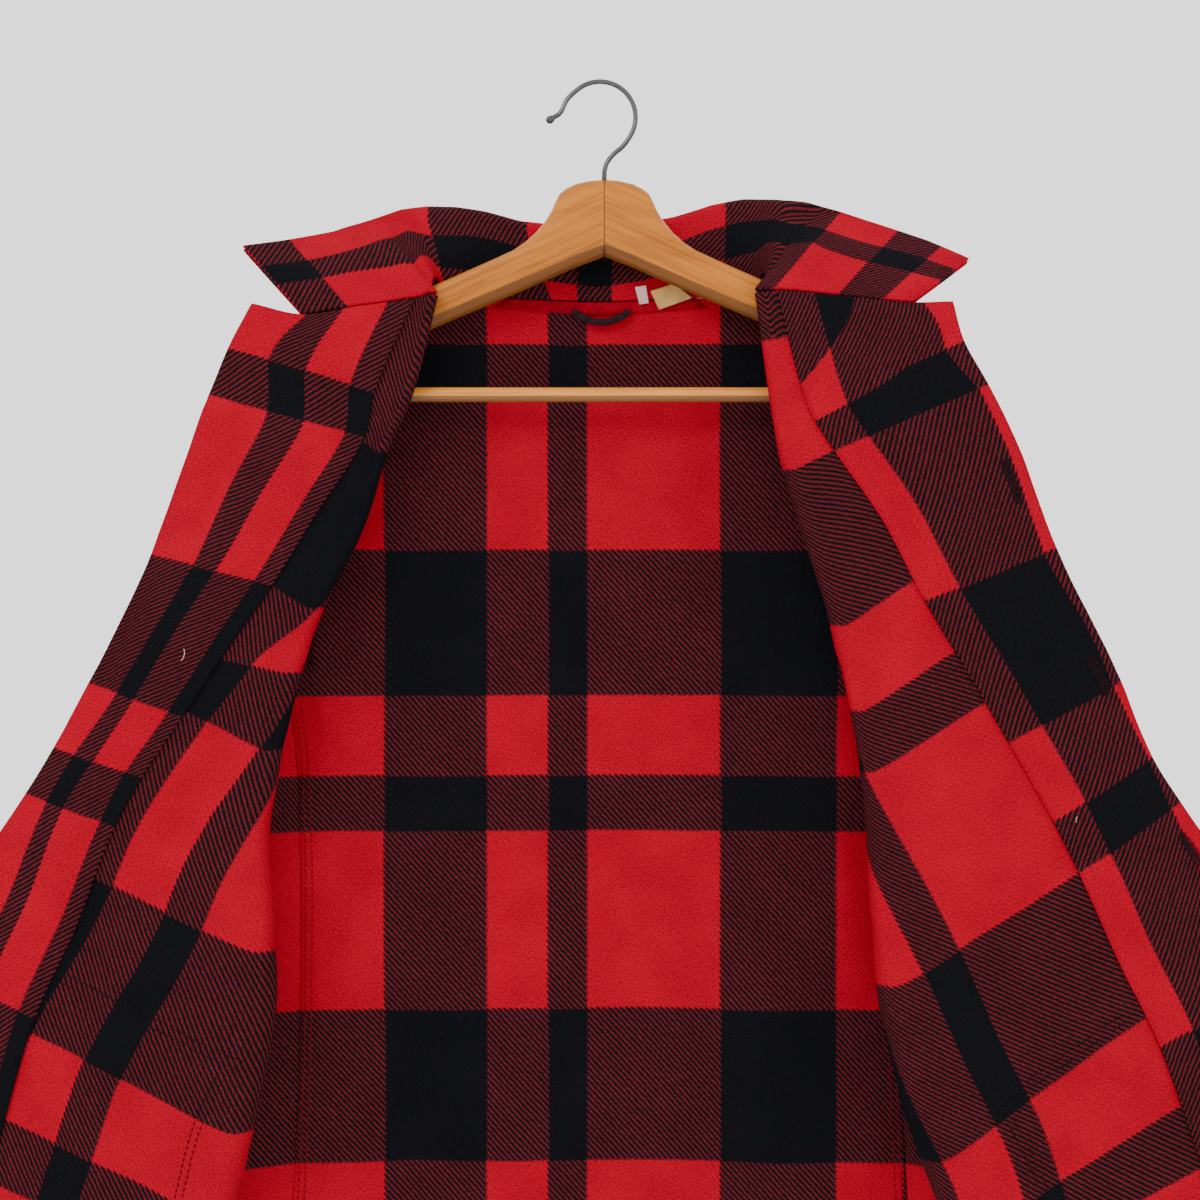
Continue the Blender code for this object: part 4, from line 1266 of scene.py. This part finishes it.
# a ring of cloth is as long as its outer line
def flatSize(grid, ring=False):
    widths = [arcsAcross(line, 0)[-1] + ((line[0] - line[-1]).length if ring else 0) for line in grid]
    middle = [line[0 if ring else len(line) // 2] for line in grid]
    length = sum((b - a).length for a, b in zip(middle, middle[1:]))
    area = 0.0
    for line, below in zip(grid, grid[1:]):
        for j in range(len(line) if ring else len(line) - 1):
            k = (j + 1) % len(line)
            area += (below[k] - line[j]).cross(below[j] - line[k]).length / 2
    return max(widths), length, area


measured = {}


def clothPiece(name, node, grid, normals, low, high, sett, weave, ring=False, paint=None):
    piece = wallPiece(name, grid, normals, low, high, paint or woolPaint(name + "Wool"), sett, weave, ring)
    width, length, area = measured[name] = flatSize(grid, ring=ring)
    flat = (max(0.01, round(width * mm, 4)), max(0.01, round(length * mm, 4)))
    area = max(0.301 * flat[0] * flat[1], min(flat[0] * flat[1], area * mm * mm))
    settle(piece, node)


half = cloth["thick"] / 2
settBack, weaveBack = backMaps(backGrid)
clothPiece(
    "backPanel", "back", pullIn(backGrid, ("left", "right", "top")), backNormals, half, -half,
    settBack, weaveBack,
)
print("back is made")

frontMapsOf = {}
for side, end, tail in sides:
    grid, normals = fronts[side], frontNormals[side]
    setts, weaves = frontMaps(side, grid)
    frontMapsOf[side] = (setts, weaves)
    drawn = pullIn(grid, ("left", "top"))
    clothPiece(
        "frontPanel" + end, "front" + tail, drawn, normals, half, -half, setts, weaves,
    )
    facingGrid = [line[faceColumn:] for line in drawn]
    facingNormals = [line[faceColumn:] for line in normals]
    facingSett, facingWeave = facingMaps(side, facingGrid)
    near = half + cloth["layerGap"]
    clothPiece(
        "facing" + end, "facing" + tail, facingGrid, facingNormals,
        near, near + cloth["facingThick"], facingSett, facingWeave,
    )
print("fronts are made")


# turned away from the middle of the sleeve
def sleeveNormals(grid, side, rounds):
    normals = easeNormals(gridNormals(grid, side, ring=True), ring=True, rounds=rounds)
    i = len(grid) // 2
    centre = sum(grid[i], Vector()) / len(grid[i])
    if (grid[i][0] - centre).dot(normals[i][0]) < 0:
        normals = [[-normal for normal in line] for line in normals]
    return normals


for side, end, tail in sides:
    grid = drawSleeve(side, fronts[side], backGrid)
    for j, place in enumerate(grid[0]):
        ahead = grid[1][j] - place
        grid[0][j] = place + ahead.normalized() * min(sleeve["gap"], ahead.length * 0.7)
    lines = []
    for (x0, z0), (x1, z1), wide, deep in creases["sleeve"]:
        lines.append(((side * x0, z0), (side * x1, z1), wide, deep))
    normals = sleeveNormals(grid, side, 2)
    grid = pressCreases(grid, normals, lines, 2.0, lambda i, j: smooth((i - 2) / 10), 11.0 + side)
    normals = sleeveNormals(grid, side, 1)
    setts, weaves = sleeveMaps(grid)
    clothPiece(
        "sleeveTube" + end, "sleeve" + tail, grid, normals, -half, half, setts, weaves,
        ring=True,
    )
print("sleeves are made")

cleanFronts = {side: drawFront(side) for side in (-1, 1)}
cleanBack = drawBack()
collarGrid, collarMarks = drawCollar(cleanFronts, cleanBack)
collarNormals = easeNormals(gridNormals(collarGrid, 1))
columns = len(collarGrid[0])
if collarNormals[5][columns // 2].y > 0:
    collarNormals = [[-normal for normal in line] for line in collarNormals]
collarGrid = pressCreases(
    collarGrid, collarNormals, creases["collar"], 0.8, lambda i, j: smooth((i - 4) / 10), 5.0
)
collarSett, collarWeave = collarMaps(collarMarks)
split = collar["split"] / 2
clothPiece(
    "collarUpper", "collar_upper", collarGrid, collarNormals, split, split + cloth["thick"],
    collarSett, collarWeave,
)
clothPiece(
    "collarUnder", "collar_under", collarGrid, collarNormals, -split, -split - cloth["thick"],
    collarSett, collarWeave,
)
print("collar is made")


# a point of a front with its normal and plaid, from the front edge and down from the neck
def readAt(side, fromEdge, down):
    grid, normals = fronts[side], frontNormals[side]
    setts, weaves = frontMapsOf[side]
    i = 1
    while i < len(downs) - 1 and downs[i] < down:
        i += 1
    share = (down - downs[i - 1]) / (downs[i] - downs[i - 1])
    found = []
    for row in (i - 1, i):
        line = grid[row]
        left, j = fromEdge, len(line) - 1
        while j > 1 and (line[j - 1] - line[j]).length < left:
            left -= (line[j - 1] - line[j]).length
            j -= 1
        step = left / (line[j - 1] - line[j]).length
        flat = [
            tuple(mix(here, beyond, step) for here, beyond in zip(values[row][j], values[row][j - 1]))
            for values in (setts, weaves)
        ]
        place, normal = (values[row][j].lerp(values[row][j - 1], step) for values in (grid, normals))
        found.append((place, normal, *flat))
    (a, m, settA, weaveA), (b, n, settB, weaveB) = found
    maps = [tuple(mix(*pair, share) for pair in zip(*both)) for both in ((settA, settB), (weaveA, weaveB))]
    return a.lerp(b, share), m.lerp(n, share).normalized(), *maps


pocket = {
    "fromEdge": 62,
    "wide": 160,
    "top": 486,
    "tall": 150,
    "flapTop": 472,
    "flapTall": 58,
    "spread": 4,  # the flap is wider by this much at each end
    "cuts": (32, 26),
}
pocketEnd = pocket["fromEdge"] + pocket["wide"]
pocketBottom = pocket["top"] + pocket["tall"]
flapBottom = pocket["flapTop"] + pocket["flapTall"]


def patchOn(side, first, last, top, bottom):
    across, down = pocket["cuts"]
    layers = [[], [], [], []]
    for i in range(down + 1):
        rows = [[], [], [], []]
        for j in range(across + 1):
            values = readAt(side, mix(first, last, j / across), mix(top, bottom, i / down))
            for row, value in zip(rows, values):
                row.append(value)
        for layer, row in zip(layers, rows):
            layer.append(row)
    return layers


patches = (  # name, node, slot, how much wider, top and bottom, on what it lies
    ("pocketPatch", "pocket", "wool_body", 0, (pocket["top"], pocketBottom), "frontPanel"),
    (
        "pocketFlap", "pocket_flap", "wool_facing", pocket["spread"], (pocket["flapTop"], flapBottom),
        "pocketPatch",
    ),
)
for side, end, tail in sides:
    near = -half - cloth["layerGap"]
    for name, node, slot, wider, ends, under in patches:
        places, across, setts, weaves = patchOn(side, pocket["fromEdge"] - wider, pocketEnd + wider, *ends)
        clothPiece(
            name + end, node + tail, places, across, near, near - cloth["thick"], setts, weaves,
        )
        near -= cloth["thick"] + cloth["layerGap"]

button = {
    "radius": 14.0,
    "thick": 4.0,
    "seat": 1.7,
    "fromEdge": 12.5,
    "first": 124,
    "pitch": 137,
    "count": 4,
    "sides": 40,
    "profile": (
        (0.0, 0.52), (0.3, 0.52), (0.5, 0.56), (0.62, 0.72), (0.7, 0.9), (0.78, 0.99), (0.86, 1),
        (0.93, 0.92),
        (0.98, 0.72), (1, 0.5), (0.985, 0.28), (0.93, 0.1), (0.82, 0.0), (0.4, 0.0), (0.0, 0.0),
    ),
    "holeOut": 2.7,
    "thread": 0.45,
    "stem": 2.4,
}


# a short thread, pointed at both ends
def capsule(start, end, radius, up, sides=6):
    along = (end - start).normalized()
    right = along.cross(up).normalized()
    top = right.cross(along)
    places = [start.copy()]
    for share, size in ((0.12, 0.8), (0.5, 1.0), (0.88, 0.8)):
        for k in range(sides):
            angle = 2 * math.pi * k / sides
            spoke = right * math.cos(angle) + top * math.sin(angle)
            places.append(start.lerp(end, share) + spoke * radius * size)
    places.append(end.copy())
    faces = ringFaces(3, sides, 1)
    for k in range(sides):
        n = (k + 1) % sides
        faces += [(0, 1 + n, 1 + k), (1 + 2 * sides + k, 1 + 2 * sides + n, len(places) - 1)]
    return places, faces


def joinParts(parts):
    places, faces = [], []
    for morePlaces, moreFaces in parts:
        base = len(places)
        places += morePlaces
        faces += [tuple(base + corner for corner in face) for face in moreFaces]
    return places, faces


hornPaint = plainPaint(
    "hornPaint", ((0.018, 0.011, 0.008, 1), (0.055, 0.03, 0.018, 1)), (90, 90, 260), (0.4, 0.6), shine=0.25
)
# the dark thread paint also serves as painted shade, in the buttonhole slits and along the facing's inner
# edge
darkThreadAndShade, redThread, paleThread = (
    plainPaint(name, colours, (fine, fine, fine), (low, high), relief=0.5, shine=shine)
    for name, colours, fine, low, high, shine in (
        ("darkThreadAndShade", ((0.004, 0.004, 0.005, 1), (0.018, 0.004, 0.006, 1)), 700, 0.85, 0.98, 0.08),
        ("redThread", ((0.20, 0.002, 0.009, 1), (0.09, 0.002, 0.006, 1)), 500, 0.85, 0.98, 0.1),
        ("paleThread", ((0.62, 0.42, 0.30, 1), (0.45, 0.25, 0.18, 1)), 500, 0.75, 0.95, 0.5),
    )
)

for i in range(button["count"]):
    place, normal, _, _ = readAt(-1, button["fromEdge"], button["first"] + i * button["pitch"])
    normal = -normal
    base = place + normal * (half + button["seat"])
    right = normal.cross(Vector((0, 0, 1))).normalized()
    up = right.cross(normal)
    places, count = [], button["sides"]
    for reach, rise in button["profile"]:
        for k in range(count):
            angle = 2 * math.pi * k / count
            spoke = right * math.cos(angle) + up * math.sin(angle)
            rim = base + spoke * max(reach, 0.001) * button["radius"]
            places.append(rim + normal * rise * button["thick"])
    faces = ringFaces(len(button["profile"]), count)
    faces += [tuple(range(count))[::-1], tuple(range(len(places) - count, len(places)))]
    disc = pieceFrom("buttonDisc" + str(i + 1), places, faces, hornPaint)
    settle(disc, "button_" + str(i + 1))
    parts = []
    floorOf = base + normal * button["thick"] * button["profile"][0][1]
    out = button["holeOut"]
    for x, z in ((-1, -1), (1, -1)):
        for lift in (-0.35, 0.35):
            a = floorOf + right * (x * out + lift) + up * (z * out) - normal * 0.5
            b = floorOf + right * (-x * out + lift) + up * (-z * out) - normal * 0.5
            middle = (a + b) / 2 + normal * 1.1
            parts += [capsule(p, q, button["thread"], normal) for p, q in ((a, middle), (middle, b))]
    parts.append(capsule(place + normal * half * 0.5, base + normal, button["stem"], right, 8))
    settle(pieceFrom("buttonThread" + str(i + 1), *joinParts(parts), darkThreadAndShade))
print("pockets and buttons are made")

trim = {
    "tape": 20,  # columns to each side of the middle
    "tapeRows": 3,
    "tapeThick": 1.2,
    "tapeColour": (0.30, 0.001, 0.012, 1),
    "tapeWorn": (0.15, 0.001, 0.008, 1),
    "loopX": 1.0,
    "loopHalf": 19.0,
    "loopZ": -155.0,
    "loopSag": 8.0,
    "loopWave": 0.6,
    "loopRadius": 2.4,
    "loopForward": 2.4,
    "loopColour": (0.014, 0.007, 0.010, 1),
    "loopWorn": (0.035, 0.016, 0.018, 1),
}


def weavePaint(name, colour, worn, thread, relief, uniform=None):
    values = {"Colour": colour, "Worn": worn, "Thread": thread, "Relief": relief}
    return paintWith(name, threadGroup, values, uniform)


middle = len(backGrid[0]) // 2
reach = range(middle - trim["tape"], middle + trim["tape"] + 1)
tapeGrid = [[cleanBack[i][j] for j in reach] for i in range(trim["tapeRows"] + 1)]
tapeNormals = [[backNormals[i][j] for j in reach] for i in range(trim["tapeRows"] + 1)]
tapeWeave = [[(arc, -line[j].z) for j, arc in enumerate(arcsAcross(line, 0))] for line in tapeGrid]
near = half + cloth["layerGap"]
tapePaint = weavePaint("tapePaint", trim["tapeColour"], trim["tapeWorn"], 0.9, 0.7, wool)
clothPiece(
    "neckTape", "neck_tape", pullIn(tapeGrid, ("top",)), tapeNormals,
    near, near + trim["tapeThick"], tapeWeave, tapeWeave, paint=tapePaint,
)

loopFace = back["middleY"] - trim["loopForward"] - half - cloth["layerGap"] - trim["tapeThick"]
loopY = loopFace - cloth["seamGap"] - trim["loopRadius"]
loopPath = []
for i in range(49):
    angle = math.pi * i / 48
    z = trim["loopZ"] - trim["loopSag"] * math.sin(angle) + trim["loopWave"] * math.sin(angle * 3)
    loopPath.append(Vector((trim["loopX"] - trim["loopHalf"] * math.cos(angle), loopY, z)))


def tubePiece(name, path, radius, sides, paint):
    places, weaves = [], []
    lengths = arcsAcross(path, 0)
    for i, place in enumerate(path):
        ahead = path[min(i + 1, len(path) - 1)] - path[max(i - 1, 0)]
        across = ahead.cross(Vector((0, 1, 0))).normalized()
        size = radius[i] if isinstance(radius, list) else radius * (0.6 if i in (0, len(path) - 1) else 1.0)
        for k in range(sides):
            angle = 2 * math.pi * k / sides
            places.append(place + across * size * math.cos(angle) + Vector((0, size * math.sin(angle), 0)))
    faces = ringFaces(len(path), sides)
    around = 2 * math.pi * size / sides
    for above, below in zip(lengths, lengths[1:]):
        for k in range(sides):
            left, right = k * around, (k + 1) * around
            weaves += [(left, above), (right, above), (right, below), (left, below)]
    last = (len(path) - 1) * sides
    faces.append(tuple(range(sides))[::-1])
    faces.append(tuple(range(last, last + sides)))
    weaves += [(0.0, 0.0)] * (2 * sides)
    return pieceFrom(name, places, faces, paint, None, weaves)


loopPaint = weavePaint("loopPaint", trim["loopColour"], trim["loopWorn"], 1.9, 1.0, wool)
settle(tubePiece("hangLoop", loopPath, trim["loopRadius"], 14, loopPaint), "hang_loop")

labels = {
    "Beige": {
        "node": "label_beige",
        "slot": "label_linen",
        "corners": ((36, 20.4, -142), (52.5, 18.4, -137), (65, 17.7, -147), (42, 22.4, -154.7)),
        "colour": (0.50, 0.285, 0.085, 1),
        "worn": (0.36, 0.19, 0.055, 1),
    },
    "White": {
        "node": "label_white",
        "slot": "label_white",
        "corners": ((25, 20.9, -139), (32.5, 20.4, -138), (34.5, 21.9, -150), (28, 22.4, -151)),
        "colour": (0.58, 0.38, 0.36, 1),
        "worn": (0.42, 0.15, 0.17, 1),
    },
}
labelCuts = 12
labelThick = 0.8
labelBow = 0.35
for name, label in labels.items():
    a, b, c, d = (Vector(corner) for corner in label["corners"])
    normal = (b - a).cross(d - a).normalized()
    grid, weave = [], []
    for i in range(labelCuts + 1):
        down = i / labelCuts
        line = []
        for j in range(labelCuts + 1):
            share = j / labelCuts
            bow = labelBow * math.sin(math.pi * share) * math.sin(2.2 * down)
            line.append(a.lerp(b, share).lerp(d.lerp(c, share), down) - normal * bow)
        grid.append(line)
        weave.append([(arc, (line[0] - a).length) for arc in arcsAcross(line, 0)])
    paint = weavePaint("label" + name + "Paint", label["colour"], label["worn"], 0.55, 0.4)
    clothPiece(
        "label" + name, label["node"], grid, gridNormals(grid, 1), 0, labelThick, weave, weave,
        paint=paint,
    )

wood = {
    "top": (
        (0, -67), (10, -67.7), (20, -70), (27, -73.4), (31, -76.6), (33.5, -81), (36.5, -88), (41, -95.6),
        (48, -104), (56, -111), (64, -116.4), (83, -125), (108, -136), (150, -154), (185.7, -170.4),
        (200, -177.5), (208, -181.7), (212, -186),
    ),
    "low": (
        (0, -120.5), (10, -124.5), (20, -128.2), (33, -134), (48, -140.5), (64, -147.5), (83, -155.5),
        (108, -166), (150, -184), (183.5, -199), (186, -204), (187.5, -220), (190, -225.6), (200, -228),
        (208, -226), (212, -218),
    ),
    "bevel": ((1.0, 8.2), (0.985, 7.6), (0.64, 2.5), (0.58, 2.0), (0.2, 0.0)),
    "light": (0.47, 0.150, 0.010, 1),
    "dark": (0.24, 0.064, 0.004, 1),
    "barLight": (0.68, 0.25, 0.016, 1),
    "barDark": (0.44, 0.135, 0.006, 1),
    "slope": 0.47,  # the grain runs down along the arms
    "sharp": 38,
}


def armPiece(name, side, paint):
    outs = sorted({0.25, *(out for out, _ in wood["top"][1:] + wood["low"][1:]), *range(3, 210, 4)})
    half = hanger["half"]
    places = []
    for out in outs:
        top, low = follow(wood["top"], out), follow(wood["low"], out)
        x = hanger["x"] + side * out
        for k in range(13):
            angle = math.radians(k * 15 - 90)
            places.append(Vector((x, half * math.sin(angle), top - half + half * math.cos(angle))))
        places += [Vector((x, half * share, low + rise)) for share, rise in wood["bevel"]]
        places += [Vector((x, -half * share, low + rise)) for share, rise in reversed(wood["bevel"])]
    count = 13 + 2 * len(wood["bevel"])
    last = (len(outs) - 1) * count
    faces = ringFaces(len(outs), count)
    faces += [tuple(range(count))[::-1], tuple(range(last, last + count))]
    piece = pieceFrom(name, places, faces, paint)
    piece.data.set_sharp_from_angle(angle=math.radians(wood["sharp"]))
    return piece


for side, end, tail in sides:
    grain = {"Light": wood["light"], "Dark": wood["dark"], "Slope": side * wood["slope"]}
    paint = paintWith("oak" + end, grainShadeGroup, grain, {"Coat Weight": 0.03, "Specular IOR Level": 0.2})
    settle(armPiece("hangerArm" + end, side, paint), "hanger_arm" + tail)

barPaint = paintWith("oakBar", grainShadeGroup, {"Light": wood["barLight"], "Dark": wood["barDark"], "Slope": 0.0})
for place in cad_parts["hanger_bar"].material_slots:
    place.link = "OBJECT"
    place.material = barPaint

hook = {
    "tip": (
        (-37.2, -26.6), (-36.3, -25.9), (-35.0, -25.0), (-33.6, -24.1), (-32.2, -23.2), (-28.6, -20.9),
        (-26.4, -17.8), (-23.2, -11.0),
    ),
    "knob": (1.2, 2.5, 2.9, 2.5, 1.75),
    "from": 128.0,
    "to": -30.0,
    "stem": ((13, -43.5), (6.5, -49), (2.2, -54.5), (0.3, -60), (0, -67.5)),
    "steel": ((0.070, 0.072, 0.076, 1), (0.10, 0.102, 0.106, 1)),
}
path = [Vector((x, 0, z)) for x, z in hook["tip"]]
bend = hanger["hookRadius"]
for k in range(15):
    angle = math.radians(mix(hook["from"], hook["to"], k / 14))
    path.append(Vector((bend * math.cos(angle), 0, hanger["wire"] - bend + bend * math.sin(angle))))
path += [Vector((hanger["x"] + x, 0, z)) for x, z in hook["stem"]]
line = smoothLine(path, [4] * (len(path) - 1))
radii = [hanger["wire"]] * len(line)
for k in range(len(hook["knob"]) - 1):
    for step in range(4):
        radii[k * 4 + step] = mix(hook["knob"][k], hook["knob"][k + 1], step / 4)
steel = plainPaint("hookSteel", hook["steel"], (40, 40, 40), (0.14, 0.22), metallic=1.0, relief=0.0)
settle(tubePiece("hangerHook", line, radii, 20, steel), "hanger_hook")

# the dark glue line where the hanger's two arms meet
glue = [Vector((hanger["x"] + x, y, z)) for x in (-0.24, 0.24) for y in (-6.6, 6.6) for z in (-67.6, -119)]
glueFaces = [(0, 1, 3, 2), (4, 6, 7, 5), (0, 4, 5, 1), (2, 3, 7, 6), (0, 2, 6, 4), (1, 5, 7, 3)]
glueColours = ((0.06, 0.025, 0.010, 1), (0.03, 0.012, 0.006, 1))
gluePaint = plainPaint("gluePaint", glueColours, (400, 400, 400), (0.6, 0.9))
settle(pieceFrom("hangerJoint", glue, glueFaces, gluePaint))
print("neck trim and hanger are made")

stitch = {
    "long": 3.0,
    "gap": 1.3,
    "radius": 0.42,
    "raised": 0.12,
    "least": 0.8,  # a stitch shorter than this is left out
    "rowGap": 5.0,
    "pocketIn": 2.0,  # the first row inside a pocket's outline
    "seamRows": (4.0, 8.5),
    "overcast": 2.1,
}


def stitchLine(points, offset):
    parts = []
    walked, start = 0.0, None
    period = stitch["long"] + stitch["gap"]
    raised = math.copysign(stitch["raised"], offset)
    for (a, m), (b, n) in zip(points, points[1:]):
        length = (b - a).length
        if length < 1e-6:
            continue
        place = 0.0
        while place < length:
            phase = (walked + place) % period
            if phase < stitch["long"]:
                if start is None:
                    start = a.lerp(b, place / length) + m * offset
                ahead = stitch["long"] - phase
            else:
                if start is not None:
                    end = a.lerp(b, place / length) + m * offset
                    if (end - start).length > stitch["least"]:
                        parts.append(capsule(start + m * raised, end + m * raised, stitch["radius"], m, 5))
                    start = None
                ahead = period - phase
            place += ahead + 1e-4
        walked += length
    return parts


def runOn(side, ends, steps=40):
    points = []
    for (edgeA, downA), (edgeB, downB) in zip(ends, ends[1:]):
        for k in range(steps):
            share = k / (steps - 1)
            place, normal, _, _ = readAt(side, mix(edgeA, edgeB, share), mix(downA, downB, share))
            points.append((place, normal))
    return points


def facingWidth(side, down):
    i = next((i for i, value in enumerate(downs) if value >= down), -1)
    line = fronts[side][i]
    return -arcsAcross(line, len(line) - 1)[faceColumn]


def addDetail(name, parts, paint):
    settle(pieceFrom(name, *joinParts(parts), paint))


near = half + cloth["layerGap"] + cloth["facingThick"]
far = half + 2 * cloth["layerGap"] + 2 * cloth["thick"]
for side, end, _ in sides:
    left, right = pocket["fromEdge"], pocketEnd
    top, bottom = pocket["top"], pocketBottom
    clear = max(facingWidth(side, down) for down in (top, bottom)) + 4
    parts = []
    for inset in (stitch["pocketIn"], stitch["pocketIn"] + stitch["rowGap"]):
        flapLine = pocket["flapTop"] + inset
        outline = [(clear, bottom - inset), (right - inset, bottom - inset), (right - inset, top)]
        for ends in (outline, [(clear, flapLine), (right + pocket["spread"], flapLine)]):
            parts += stitchLine(runOn(side, ends), half)
    addDetail("pocketSeamInside" + end, parts, darkThreadAndShade)
    corners = [(left + 3, bottom - 3), (right - 3, bottom - 3)]
    outline = [(left + 3, flapBottom + 4), *corners, (right - 3, flapBottom + 4)]
    parts = stitchLine(runOn(side, outline), -(half + cloth["layerGap"] + cloth["thick"]))
    flapTop, flapLow = pocket["flapTop"] + 5, flapBottom - 5
    outline = [(left, flapTop), (left, flapLow), (right, flapLow), (right, flapTop), (left, flapTop)]
    parts += stitchLine(runOn(side, outline), -far)
    addDetail("pocketStitches" + end, parts, redThread)
    # the facing's raw inner edge is overcast in close dark stitches: partly real overcasting, partly painted
    # shade for the dark line where the edge's step lies in shadow
    parts = []
    edge, beyond = ([line[faceColumn + step] for line in fronts[side]] for step in (0, 2))
    for i in range(2, len(edge) - 1):
        steps = max(1, round((edge[i + 1] - edge[i]).length / stitch["overcast"]))
        normal = frontNormals[side][i][faceColumn]
        for k in range(steps):
            share = k / steps
            place = edge[i].lerp(edge[i + 1], share)
            inner = (beyond[i].lerp(beyond[i + 1], share) - place).normalized()
            a = place - inner * 0.6 + normal * (half + 0.35)
            b = place + inner * 1.7 + normal * (near + 0.1)
            parts.append(capsule(a, b, stitch["radius"], normal, 5))
    addDetail("facingOvercast" + end, parts, darkThreadAndShade)
    parts = []
    for inset in stitch["seamRows"]:
        seam = []
        for i in range(columnOf(rowCounts, shoulderRows - 1 + armholeSpans) + 3, len(backGrid)):
            line, across = backGrid[i][::-side], backNormals[i][::-side]
            walked, j = 0.0, 0
            while walked + (line[j + 1] - line[j]).length < inset:
                walked += (line[j + 1] - line[j]).length
                j += 1
            share = (inset - walked) / (line[j + 1] - line[j]).length
            seam.append((line[j].lerp(line[j + 1], share), across[j]))
        parts += stitchLine(seam, half)
    addDetail("sideSeamStitches" + end, parts, redThread)

# buttonholes on the wearer's left front, worked through the facing
hole = {
    "first": 142.0,
    "pitch": 137.0,
    "fromEdge": 13.0,
    "half": 14.0,
    "open": 1.1,
    "bite": 3.0,
    "count": 22,
    "thread": 0.55,
}
for i in range(button["count"]):
    down = hole["first"] + i * hole["pitch"]
    parts, shadedSlit = [], [[], [], [], []]
    for k in range(hole["count"] + 1):
        share = k / hole["count"] * 2 - 1
        (place, normal, _, _), (outer, _, _, _) = (
            readAt(1, hole["fromEdge"] - nearer, down + share * hole["half"]) for nearer in (0, 2)
        )
        aside = (outer - place).normalized()
        gape = hole["open"] * math.sqrt(max(0.02, 1 - share * share))
        ground = place + normal * near
        for row, (way, rise) in enumerate(((1, 0.12), (-1, 0.12), (-1, -0.3), (1, -0.3))):
            shadedSlit[row].append(ground + aside * way * gape + normal * rise)
        bite = hole["bite"] * (0.9 + 0.2 * math.sin(k * 2.1))
        for way in (-1, 1):
            a = ground + aside * way * (gape - 0.2) + normal * 0.3
            b = ground + aside * way * (gape + bite) + normal * 0.1
            parts.append(capsule(a, b, hole["thread"], normal, 6))
    addDetail("buttonholeStitches" + str(i + 1), parts, darkThreadAndShade)
    # painted shade: a dark sliver fills the slit, standing for the shadow in the buttonhole's opening
    count = len(shadedSlit[0])
    faces = [(0, count, 2 * count, 3 * count), (4 * count - 1, 3 * count - 1, 2 * count - 1, count - 1)]
    for row in range(4):
        a, b = row * count, (row + 1) % 4 * count
        faces += [(a + k, a + k + 1, b + k + 1, b + k) for k in range(count - 1)]
    addDetail("buttonholeSlitShade" + str(i + 1), [(sum(shadedSlit, []), faces)], darkThreadAndShade)

# a stray pale thread, a small dark mark and a pale one: side, from the edge, down, length, turn
marks = (
    ("strayThread", -1, 52.0, 250.0, 9.0, 80, paleThread),
    ("darkMark", -1, 70.0, 372.0, 5.0, 20, darkThreadAndShade),
    ("paleMark", 1, 66.0, 352.0, 4.0, 50, paleThread),
)
for name, side, fromEdge, down, length, turn, paint in marks:
    points = []
    for k in range(5):
        share = k / 4 - 0.5
        angle = math.radians(turn + 30 * share)
        across, along = share * length * math.cos(angle), share * length * math.sin(angle)
        place, normal, _, _ = readAt(side, fromEdge + across, down + along)
        points.append(place + normal * (near + 0.25))
    parts = [capsule(a, b, 0.35, Vector((0, -1, 0)), 5) for a, b in zip(points, points[1:])]
    addDetail(name, parts, paint)
print("stitches and buttonholes are made")

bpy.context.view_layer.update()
for name, (width, length, area) in measured.items():
    print(name, "width", round(width), "length", round(length), "area", round(area * 1e-6, 4))
